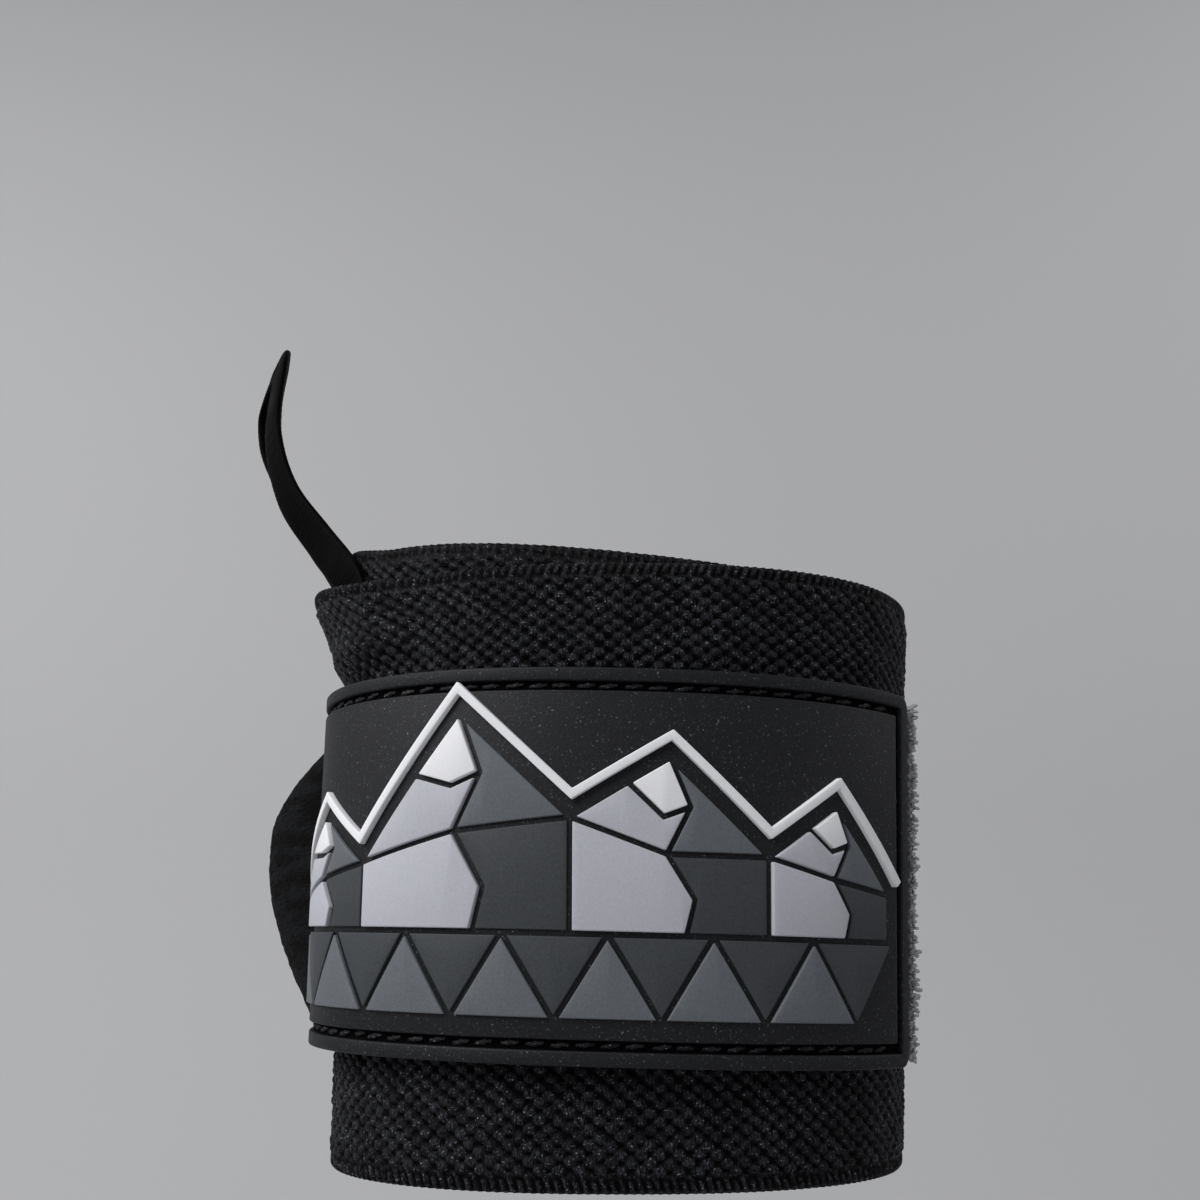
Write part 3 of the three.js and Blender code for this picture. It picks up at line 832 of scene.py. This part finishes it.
def centripetal(points, samples):
    """A smooth line through the points, with its samples spread over the points' spans."""
    ends = [2 * points[0] - points[1], 2 * points[-1] - points[-2]]
    p = np.array([ends[0], *points, ends[1]])
    line = []
    for place in np.linspace(0, len(points) - 1, samples):
        i = min(int(place), len(points) - 2)
        w = place - i
        p0, p1, p2, p3 = p[i : i + 4]
        d0, d1, d2 = [max(np.linalg.norm(b - a) ** 0.5, 1e-4) for a, b in ((p0, p1), (p1, p2), (p2, p3))]
        t1 = ((p1 - p0) / d0 - (p2 - p0) / (d0 + d1) + (p2 - p1) / d1) * d1
        t2 = ((p2 - p1) / d1 - (p3 - p1) / (d1 + d2) + (p3 - p2) / d2) * d1
        w2, w3 = w * w, w * w * w
        line.append(
            (2 * w3 - 3 * w2 + 1) * p1 + (w3 - 2 * w2 + w) * t1 + (3 * w2 - 2 * w3) * p2 + (w3 - w2) * t2
        )
    return np.array(line)


def loop_line():
    """The loop's middle line and, for each of its points, how its face is turned, in radians."""
    front = tucked(loop_feet["front"])
    back = tucked(loop_feet["back"])[::-1]
    middle = (front[-1] + back[0]) / 2
    reach = np.array([-loop_lean, loop_depth, loop_height])
    route = [middle + reach * [row["lean"], row["depth"], row["height"]] for row in loop_route]
    faces = [loop_feet["front"]["face"]] * len(front) + [row["face"] for row in loop_route]
    faces += [loop_feet["back"]["face"]] * len(back)
    places = np.linspace(0, len(faces) - 1, loop_samples)
    line = centripetal([*front, *route, *back], loop_samples)
    return line, np.radians(np.interp(places, range(len(faces)), faces))


# %% Its ribbed strip
loop_rib = {"spacing": 0.9, "height": 0.07}
loop_valley_thickness = loop_thickness - 0.1
loop_profile = np.linspace(0, 2 * math.pi, 21)[:-1]
profile_power = {"across": 0.55, "out": 0.75}


def thumb_loop():
    line, face = loop_line()
    along = np.gradient(line, axis=0)
    along /= np.linalg.norm(along, axis=1, keepdims=True)
    level = np.array([1.0, 0, 0]) - along * along[:, :1]
    level /= np.linalg.norm(level, axis=1, keepdims=True)
    upright = np.cross(along, level)
    across = level * np.cos(face)[:, None] + upright * np.sin(face)[:, None]
    out = np.cross(along, across)
    distance = np.concatenate([[0], np.cumsum(np.linalg.norm(np.diff(line, axis=0), axis=1))])
    rib = np.sin(2 * math.pi * distance / loop_rib["spacing"])
    side = loop_width / 2 * signed_power(np.cos(loop_profile), profile_power["across"])
    thick = signed_power(np.sin(loop_profile), profile_power["out"]) / 2
    deep = loop_valley_thickness + 2 * loop_rib["height"] * rib
    outwards = (deep[:, None] * thick)[..., None]
    points = line[:, None] + across[:, None] * side[:, None] + out[:, None] * outwards
    flat = np.stack(np.broadcast_arrays(distance[:, None], side[None, :]), axis=-1)
    # Painted shade: the valleys between the ribs get more of the darker pit colour.
    lump_tone_and_shade = np.broadcast_to((0.5 + rib / 2)[:, None], flat.shape[:2])
    piece = strip_mesh("thumb_loop_elastic", points, flat, lump_tone_and_shade)
    finish_piece(piece, [loop_elastic], "thumb_loop")
    print(f"thumb loop: {distance[-1]:.0f} mm long")


thumb_loop()

# %% [markdown]
# ## The soft strap and the hook tape
#
# The strap is a short stretch of loop pile, sewn on the band's end. It runs in under the patch. The hook
# tape takes over from it there and comes out past the patch's other end, where its hooks and cut threads
# make a ragged grey margin.

# %% Uneven pile
pile_random = np.random.default_rng(7)


def soft_noise(shape, cells):
    """Smooth random values from -1 to 1 on a grid, with a lump every few cells."""
    coarse = pile_random.uniform(-1, 1, [size // cells + 3 for size in shape])
    row, column = [np.arange(size) / cells for size in shape]
    i, j = row.astype(int), column.astype(int)
    f, g = smooth(row - i, 0, 1)[:, None], smooth(column - j, 0, 1)[None, :]
    upper = coarse[i][:, j] * (1 - g) + coarse[i][:, j + 1] * g
    lower = coarse[i + 1][:, j] * (1 - g) + coarse[i + 1][:, j + 1] * g
    return upper * (1 - f) + lower * f


# %% Strips of the tab
strip_rounding = {"depth": 0.4, "width": 1.0}
nap_lumps = (2, 7)


def tab_strip(name, start, end, width, thickness, lift, columns, rows, nap=0.0):
    """A strip of the closing tab. nap is how uneven its outer face is, in mm."""
    t, v = np.meshgrid(
        np.linspace(start, end, columns), np.linspace(width / 2, -width / 2, rows), indexing="ij"
    )
    along = (t - start) * tab_girth
    uneven = nap * sum(soft_noise(t.shape, cells) for cells in nap_lumps) / len(nap_lumps)
    in_from_edge = np.minimum((width / 2 - np.abs(v)) / strip_rounding["width"], 1.0)
    outer = thickness - strip_rounding["depth"] * (1 - in_from_edge) ** 2 + uneven
    z = v + tab_tilt(t)
    front = on_wrist(t, lift(t, z) + outer, z)
    behind = on_wrist(t, lift(t, z), z)[:, ::-1]
    flat = np.stack([along, v], axis=-1)
    points = np.concatenate([front, behind], axis=1)
    return strip_mesh(name, points, np.concatenate([flat, flat[:, ::-1]], axis=1))


strap = tab_strip(
    "soft_strap_pile",
    strap_start,
    seam_place - in_turns(clearance, tab_lift),
    strap_width,
    strap_thickness,
    creased_strap_lift,
    columns=150,
    rows=170,
    nap=0.18,
)
finish_piece(strap, [pile], "soft_strap")

hook_reach = 0.6  # how far the cut tape stays back from the tips of its hooks
tape_width = patch_height - 2 * hook_tape_inset
tape = tab_strip(
    "hook_tape_base",
    seam_place + in_turns(clearance, tab_lift),
    hook_tip - in_turns(hook_reach, tab_lift),
    tape_width,
    strap_thickness,
    hook_lift,
    columns=320,
    rows=30,
)
finish_piece(tape, [backing], "hook_tape")


# %% Copies of a small model
def copy_of(model):
    copy = model.copy()
    copy.data = model.data.copy()
    return copy


def copies_of(model, name, places):
    """Copies a small model to each place, a matrix in mm, joins the copies and removes the model."""
    copies = []
    for place in places:
        copy = copy_of(model)
        copy.data.transform(Matrix.Diagonal((MM, MM, MM, 1)) @ place)
        bpy.context.collection.objects.link(copy)
        copies.append(copy)
    bpy.data.objects.remove(model)
    bpy.ops.object.select_all(action="DESELECT")
    for copy in copies:
        copy.select_set(True)
    bpy.context.view_layer.objects.active = copies[0]
    bpy.ops.object.join()
    joined = bpy.context.object
    joined.name = name
    bpy.ops.object.shade_smooth()
    print(f"{name}: {len(copies)} copies")
    return joined


def stand_at(turn, lift, z):
    """A matrix that stands a model on a strip: its z looks outwards and its x along the strip."""
    here, ahead = [Vector(on_wrist(place, lift, z)) for place in (turn, turn + 0.001)]
    along = (ahead - here).normalized()
    out = along.cross(Vector((0, 0, 1))).normalized()
    upright = out.cross(along)
    axes = Matrix((along, upright, out)).transposed().to_4x4()
    return Matrix.Translation(here) @ axes


# %% [markdown]
# A hook of the tape is a nylon thread that was woven in as a loop and cut open: a stem, and a bend that
# comes down again. One is extruded and spun, and its copies stand in rows at the tape's cut edge, where
# they lean all ways. Real threads are 0.2 mm thick. These are twice that, or they wouldn't show.

# %% The hooks
hook_radius = 0.22
hook_spacing = 0.6
hook_bend = 0.34
stem_height = 0.4
hook_curl = math.radians(215)
hook_stray = 0.35
lean_stray = 25
hook_sizes = (0.7, 1.3)
# How far back each row stands from the cut edge, how it leans in degrees, and how high on the edge.
hook_rows = [
    {"back": -0.05, "lean": 80, "height": 0.4},
    {"back": -0.15, "lean": 95, "height": 0.8},
    {"back": 0, "lean": 60, "height": 0.9},
    {"back": 0.3, "lean": 25, "height": 1},
    {"back": 0.1, "lean": 110, "height": 0.1},
]

bpy.ops.object.select_all(action="DESELECT")
bpy.ops.mesh.primitive_circle_add(vertices=6, radius=hook_radius, fill_type="NGON")
hook = bpy.context.object
bpy.ops.object.mode_set(mode="EDIT")
bpy.ops.mesh.extrude_region_move(TRANSFORM_OT_translate={"value": (0, 0, stem_height)})
bpy.ops.mesh.spin(steps=5, angle=hook_curl, center=(hook_bend, 0, stem_height), axis=(0, 1, 0))
bpy.ops.mesh.select_all(action="SELECT")
bpy.ops.mesh.normals_make_consistent(inside=False)
bpy.ops.object.mode_set(mode="OBJECT")

hook_places = []
for row in hook_rows:
    turn = hook_tip - in_turns(hook_reach + row["back"], tab_lift)
    face = strap_thickness * row["height"]
    for across in np.arange(-tape_width / 2 + 0.4, tape_width / 2 - 0.2, hook_spacing):
        z = across + random.uniform(-hook_stray, hook_stray) + tab_tilt(turn)
        stand = stand_at(turn, hook_lift(turn, z) + face, z)
        lean = row["lean"] + random.uniform(-lean_stray, lean_stray)
        tip = Matrix.Rotation(math.radians(lean), 4, "Y")
        twist = Matrix.Rotation(random.uniform(0, 2 * math.pi), 4, "Z")
        hook_places.append(stand @ tip @ twist @ Matrix.Scale(random.uniform(*hook_sizes), 4))
hooks = copies_of(hook, "hook_tape_hooks", hook_places)
finish_piece(hooks, [nylon], "hook_tape")

# %% [markdown]
# ## The rubber patch
#
# The patch is cast in one piece in an open mould: a flange round the edge, a groove for the seam, and a
# field with a raised picture. It starts as a flat block. The top is inset twice, the ring between the two
# insets is pushed down for the groove, and the edges are softened. Then it is cut into narrow strips
# across, so that it can bend, and is wound on like the rest.

# %% Softening and bending flat work
cut_step = 1.25
smooth_below = math.radians(35)


def edit_all(piece):
    bpy.ops.object.select_all(action="DESELECT")
    piece.select_set(True)
    bpy.context.view_layer.objects.active = piece
    bpy.ops.object.mode_set(mode="EDIT")
    bpy.ops.mesh.select_all(action="SELECT")


def soften_edges(piece, width, sharper_than):
    """Rounds the edges of an active piece that are sharper than an angle in degrees."""
    bevel = piece.modifiers.new("soft edges", "BEVEL")
    bevel.width = width * MM
    bevel.segments = 3
    bevel.limit_method = "ANGLE"
    bevel.angle_limit = math.radians(sharper_than)
    bpy.ops.object.modifier_apply(modifier=bevel.name)


def cut_across(piece):
    """Cuts a flat piece at even places along the patch, so that it can bend."""
    edit_all(piece)
    for place in np.arange(cut_step - patch_length / 2, patch_length / 2, cut_step):
        bpy.ops.mesh.select_all(action="SELECT")
        bpy.ops.mesh.bisect(plane_co=(place * MM, 0, 0), plane_no=(1, 0, 0))
    bpy.ops.object.mode_set(mode="OBJECT")


def wind_on_patch(piece):
    """Carries a flat piece of the patch, in metres, to its place on the wrap."""
    count = len(piece.data.vertices)
    flat = np.empty(count * 3)
    piece.data.vertices.foreach_get("co", flat)
    x, y, z = (flat.reshape(-1, 3) / MM).T
    turn = patch_start + (x + patch_length / 2) / patch_length * (patch_tip - patch_start)
    points = on_wrist(turn, patch_lift(turn) + z, y + tab_tilt(turn))
    piece.data.vertices.foreach_set("co", (points * MM).ravel())
    piece.data.update()


# %% The plate with its flange and groove
plate_softness = 0.22


def select_faces(piece, test):
    bpy.ops.object.mode_set(mode="OBJECT")
    for polygon in piece.data.polygons:
        polygon.select = test(polygon)
    bpy.ops.object.mode_set(mode="EDIT")


bpy.ops.object.select_all(action="DESELECT")
bpy.ops.mesh.primitive_cube_add(size=1, location=(0, 0, patch_thickness / 2 * MM))
plate = bpy.context.object
plate.name = "patch_plate"
plate.scale = (patch_length * MM, patch_height * MM, patch_thickness * MM)
bpy.ops.object.transform_apply(location=True, rotation=True, scale=True)
bpy.ops.object.mode_set(mode="EDIT")
bpy.ops.mesh.select_mode(type="FACE")
select_faces(plate, lambda polygon: polygon.normal.z > 0.9)
bpy.ops.mesh.inset(thickness=flange_width * MM)
bpy.ops.mesh.inset(thickness=groove_width * MM)
groove_outer = Vector((patch_length / 2, patch_height / 2)) - Vector((flange_width, flange_width))
field_half = groove_outer - Vector((groove_width, groove_width))


def in_groove(polygon):
    centre = polygon.center / MM
    over_flange = abs(centre.x) > groove_outer.x or abs(centre.y) > groove_outer.y
    on_field = abs(centre.x) < field_half.x - 1 and abs(centre.y) < field_half.y - 1
    return polygon.normal.z > 0.9 and not over_flange and not on_field


select_faces(plate, in_groove)
bpy.ops.mesh.extrude_region_move(TRANSFORM_OT_translate={"value": (0, 0, -groove_depth * MM)})
bpy.ops.mesh.select_mode(type="EDGE")
bpy.ops.mesh.select_all(action="DESELECT")
bpy.ops.object.mode_set(mode="OBJECT")
for edge in plate.data.edges:
    a, b = (plate.data.vertices[i].co for i in edge.vertices)
    edge.select = abs(a.z - b.z) > 0.9 * patch_thickness * MM
bpy.ops.object.mode_set(mode="EDIT")
bpy.ops.mesh.bevel(offset=patch_corner * MM, segments=5, affect="EDGES")
bpy.ops.object.mode_set(mode="OBJECT")
soften_edges(plate, plate_softness, 50)
cut_across(plate)

# %% Its finish, and its place on the wrap
# The groove is so narrow that its floor is in the dark. Its floor and the foot of its walls are painted
# near black as shade, which shows the seam.
for polygon in plate.data.polygons:
    centre = polygon.center / MM
    inside_flange = abs(centre.x) < groove_outer.x and abs(centre.y) < groove_outer.y
    in_the_groove = patch_thickness - groove_depth - 0.01 < centre.z < patch_thickness - 0.3
    polygon.material_index = 1 if inside_flange and in_the_groove else 0
wind_on_patch(plate)
bpy.ops.object.shade_smooth_by_angle(angle=smooth_below)
finish_piece(plate, [rubber["ground"], shadowed], "rubber_patch")

# %% [markdown]
# ## The raised picture
#
# Each face of the picture is a flat outline that is pulled up out of the field and softened, as the
# casting's edges are. A table holds the peaks, as shares of half the field, and every outline is moved in
# a little, which leaves the dark channels between the faces.

# %% The picture's table
peaks = [
    {"at": -0.62, "top": 0.28, "valley at": -0.44, "valley": -0.02},
    {"at": -0.16, "top": 0.86, "valley at": 0.12, "valley": 0.24},
    {"at": 0.36, "top": 0.6, "valley at": 0.6, "valley": 0.04},
    {"at": 0.78, "top": 0.36, "valley at": 0.95, "valley": -0.14},
]
range_start = {"valley at": -0.88, "valley": -0.28}
range_floor = -0.42
foothills = {"count": 7, "from": -0.93, "to": 0.97, "low": -0.9}
ridge_line = [(0.28, 0.08), (0.55, -0.06), (0.8, 0.06)]  # shares of the way down, and sideways
ridge_foot = 0.15
cap_side = 0.42
cap_dip = (0.34, -0.06)
relief_height = {"white": 0.8, "light": 0.65, "middle": 0.5, "dark": 0.35}
relief_root = 0.1  # the faces stand this deep in the field, so that no slit shows under them
relief_softness = 0.16
relief_gap = 0.7
skyline_gap = 1.7
skyline_width = 1.1


# %% Moving the sides of an outline
def field_point(at, height):
    """A place on the patch in mm, from shares of half the field."""
    return np.array([field_half.x * at, field_half.y * height])


def left_of(direction):
    return np.array([-direction[1], direction[0]])


def crossing(start_a, along_a, start_b, along_b):
    """Where two sides meet. Sides in one line meet where the second starts."""
    turn = along_a[0] * along_b[1] - along_a[1] * along_b[0]
    if abs(turn) < 1e-3:
        return start_b
    offset = start_b - start_a
    share = (offset[0] * along_b[1] - offset[1] * along_b[0]) / turn
    return start_a + along_a * share


def moved_sides(points, distance, closed):
    """The sides of an outline, each moved to its left, as pairs of a start and a direction."""
    sides = []
    ends = np.roll(points, -1, axis=0) if closed else points[1:]
    for start, end in zip(points, ends):
        along = (end - start) / np.linalg.norm(end - start)
        sides.append((start + left_of(along) * distance, along))
    return sides


def shrunk(points, distance):
    """A closed outline with all its sides moved in."""
    sides = moved_sides(np.array(points), distance, closed=True)
    return [crossing(*sides[i - 1], *sides[i]) for i in range(len(sides))]


def stroke_beside(line, near, far):
    """A band on the left of an open line, between two distances from it."""

    def moved(distance):
        sides = moved_sides(np.array(line), distance, closed=False)
        corners = [crossing(*sides[i], *sides[i + 1]) for i in range(len(sides) - 1)]
        return [sides[0][0], *corners, line[-1] + left_of(sides[-1][1]) * distance]

    return [*moved(far)[::-1], *moved(near)]


# %% Faces of the picture
def peak_faces(peak, before):
    """A mountain's faces: a snow cap, two lit ones on the left and two in the shade on the right."""
    apex = field_point(peak["at"], peak["top"])
    left = field_point(before["valley at"], before["valley"])
    right = field_point(peak["valley at"], peak["valley"])
    left_foot = field_point(before["valley at"], range_floor)
    right_foot = field_point(peak["valley at"], range_floor)
    foot = field_point(peak["at"] + (peak["valley at"] - peak["at"]) * ridge_foot, range_floor)
    reach = peak["valley at"] - before["valley at"]

    def bend(share, sway):
        return apex + (foot - apex) * share + field_point(reach * sway, 0)

    ridge = [bend(share, sway) for share, sway in ridge_line]
    cap_left = apex + (left - apex) * cap_side
    dip = bend(*cap_dip)
    return [
        ("white", [apex, cap_left, dip, ridge[0]]),
        ("light", [cap_left, left, ridge[1], ridge[0], dip]),
        ("light", [left, left_foot, foot, ridge[2], ridge[1]]),
        ("middle", [apex, ridge[0], ridge[1], right]),
        ("dark", [ridge[1], ridge[2], foot, right_foot, right]),
    ]


def hill_faces():
    """A row of triangles that point up, with darker ones between them that point down."""
    pitch = (foothills["to"] - foothills["from"]) / (foothills["count"] + 0.5)
    faces = []
    for k in range(foothills["count"]):
        left = foothills["from"] + pitch * k
        low = foothills["low"]
        below = [field_point(left, low), field_point(left + pitch, low)]
        above = [field_point(left + pitch / 2, range_floor), field_point(left + 1.5 * pitch, range_floor)]
        faces.append(("middle", [*below, above[0]]))
        faces.append(("dark", [below[1], above[1], above[0]]))
    return faces


def relief_outlines():
    faces = []
    before = range_start
    skyline = [field_point(range_start["valley at"], range_start["valley"])]
    for peak in peaks:
        faces += peak_faces(peak, before)
        skyline += [field_point(peak["at"], peak["top"]), field_point(peak["valley at"], peak["valley"])]
        before = peak
    outlines = [(tone, shrunk(outline, relief_gap / 2)) for tone, outline in faces + hill_faces()]
    outlines.append(("white", stroke_beside(skyline, skyline_gap, skyline_gap + skyline_width)))
    return outlines


# %% Raised faces
def relief_piece(tone, outlines):
    base = patch_thickness - relief_root
    corners = [(x * MM, y * MM, base * MM) for outline in outlines for x, y in outline]
    starts = np.cumsum([0] + [len(outline) for outline in outlines])
    faces = [list(range(starts[i], starts[i + 1])) for i in range(len(outlines))]
    mesh = bpy.data.meshes.new(f"relief_{tone}")
    mesh.from_pydata(corners, [], faces)
    piece = bpy.data.objects.new(f"relief_{tone}", mesh)
    bpy.context.collection.objects.link(piece)
    edit_all(piece)
    bpy.ops.mesh.normals_make_consistent(inside=False)
    rise = (relief_height[tone] + relief_root) * MM
    bpy.ops.mesh.extrude_region_move(TRANSFORM_OT_translate={"value": (0, 0, rise)})
    bpy.ops.mesh.select_all(action="SELECT")
    bpy.ops.mesh.normals_make_consistent(inside=False)
    bpy.ops.object.mode_set(mode="OBJECT")
    soften_edges(piece, relief_softness, 40)
    cut_across(piece)
    wind_on_patch(piece)
    bpy.ops.object.shade_smooth_by_angle(angle=smooth_below)
    finish_piece(piece, [rubber[tone]], "rubber_patch")


outlines = relief_outlines()
for tone in relief_height:
    relief_piece(tone, [outline for kind, outline in outlines if kind == tone])

# %% [markdown]
# ## The seam
#
# A line of lockstitch runs in the groove and holds the patch on its tape. Each stitch is a short sunken
# bead of thread. One is modelled and copied along the groove's four sides.

# %% The seam's stitches on the flat patch
stitch_pitch = 3.2
stitch_size = {"length": 2.5, "width": 0.72, "height": 0.5}
# How unevenly the machine sews: mm from the stitch's place, and degrees.
stray = {"along": 0.2, "across": 0.12, "height": (-0.02, 0.1), "slant": (3, 13), "dip": 5}
groove_middle = (groove_outer + field_half) / 2
groove_floor = patch_thickness - groove_depth


def stitch_places():
    """A matrix in mm for each stitch, on the patch while it is flat."""
    places = []
    for side, half, reach in ((0, groove_middle.y, groove_middle.x), (1, groove_middle.x, groove_middle.y)):
        count = int(2 * reach / stitch_pitch)
        first = -stitch_pitch * (count - 1) / 2
        for k in range(count):
            for way in (-1, 1):
                at = first + stitch_pitch * k + random.uniform(-stray["along"], stray["along"])
                beside = way * half + random.uniform(-stray["across"], stray["across"])
                x, y = (beside, at) if side else (at, beside)
                place = Matrix.Translation((x, y, groove_floor + random.uniform(*stray["height"])))
                slant = Matrix.Rotation(math.radians(90 * side + random.uniform(*stray["slant"])), 4, "Z")
                dip = Matrix.Rotation(math.radians(random.uniform(-stray["dip"], stray["dip"])), 4, "Y")
                places.append(place @ slant @ dip)
    return places


# %% One stitch, and its copies
# Two plies twist round each other, so the bead's section is an oval that turns along it.
ply_depth = 0.3
ply_twist = 14
bpy.ops.object.select_all(action="DESELECT")
bpy.ops.mesh.primitive_uv_sphere_add(
    segments=12, ring_count=12, radius=0.5, rotation=(0, math.radians(90), 0)
)
bpy.ops.object.transform_apply(location=True, rotation=True, scale=True)
stitch = bpy.context.object
for vertex in stitch.data.vertices:
    x, y, z = vertex.co
    around = math.atan2(z, y)
    ply = 1 + ply_depth * math.cos(2 * around - ply_twist * x)
    vertex.co = (
        x * stitch_size["length"],
        y * stitch_size["width"] * ply,
        z * stitch_size["height"] * ply,
    )
strap_stitch, band_stitch = copy_of(stitch), copy_of(stitch)
seam = copies_of(stitch, "patch_seam", stitch_places())
wind_on_patch(seam)
finish_piece(seam, [thread], "rubber_patch")

# %% [markdown]
# The strap is sewn on the band's outer end with two upright rows of the same lockstitch, and the band is
# hemmed beside the strap with one. The stitches stand on the faces that show, so the strap's lie on its
# pile.

# %% Seams of the strap and of the band's end
stitch_sink = 0.05
row_slant = (3, 11)
strap_seam_insets = (1.6, 6.8)
seam_margin = 2
hem_inset = 2.2
hem_reach = 36
hem_gap = 1


def upright_row(turn, lift, low, high):
    places = []
    for z in np.arange(low + stitch_pitch / 2, high, stitch_pitch):
        stand = stand_at(turn, lift(turn, z) - stitch_sink, z)
        places.append(stand @ Matrix.Rotation(math.radians(90 + random.uniform(*row_slant)), 4, "Z"))
    return places


def on_strap(turn, z):
    return strap_lift(turn, z) + strap_thickness


def on_band(turn, z):
    return band_lift(turn, z) + band_thickness


half_strap = strap_width / 2
strap_rows = []
for inset in strap_seam_insets:
    turn = strap_start + in_turns(inset, tab_lift)
    strap_rows += upright_row(turn, on_strap, seam_margin - half_strap, half_strap - seam_margin)
hem_turn = band_end - in_turns(hem_inset, tab_lift)
hem_rows = upright_row(hem_turn, on_band, -hem_reach, -half_strap - hem_gap)
hem_rows += upright_row(hem_turn, on_band, half_strap + hem_gap, hem_reach)
finish_piece(copies_of(strap_stitch, "strap_seam", strap_rows), [thread], "soft_strap")
finish_piece(copies_of(band_stitch, "band_end_seam", hem_rows), [thread], "elastic_band")

# %% [markdown]
# ## The wrap's box and the end
#
# The last cell prints the box of the dressed wrap.

# %% Finish
visual_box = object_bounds()
size_mm = [(high - low) / MM for low, high in zip(*visual_box)]
print("dressed wrap: {:.0f} by {:.0f} by {:.0f} mm".format(*size_mm))
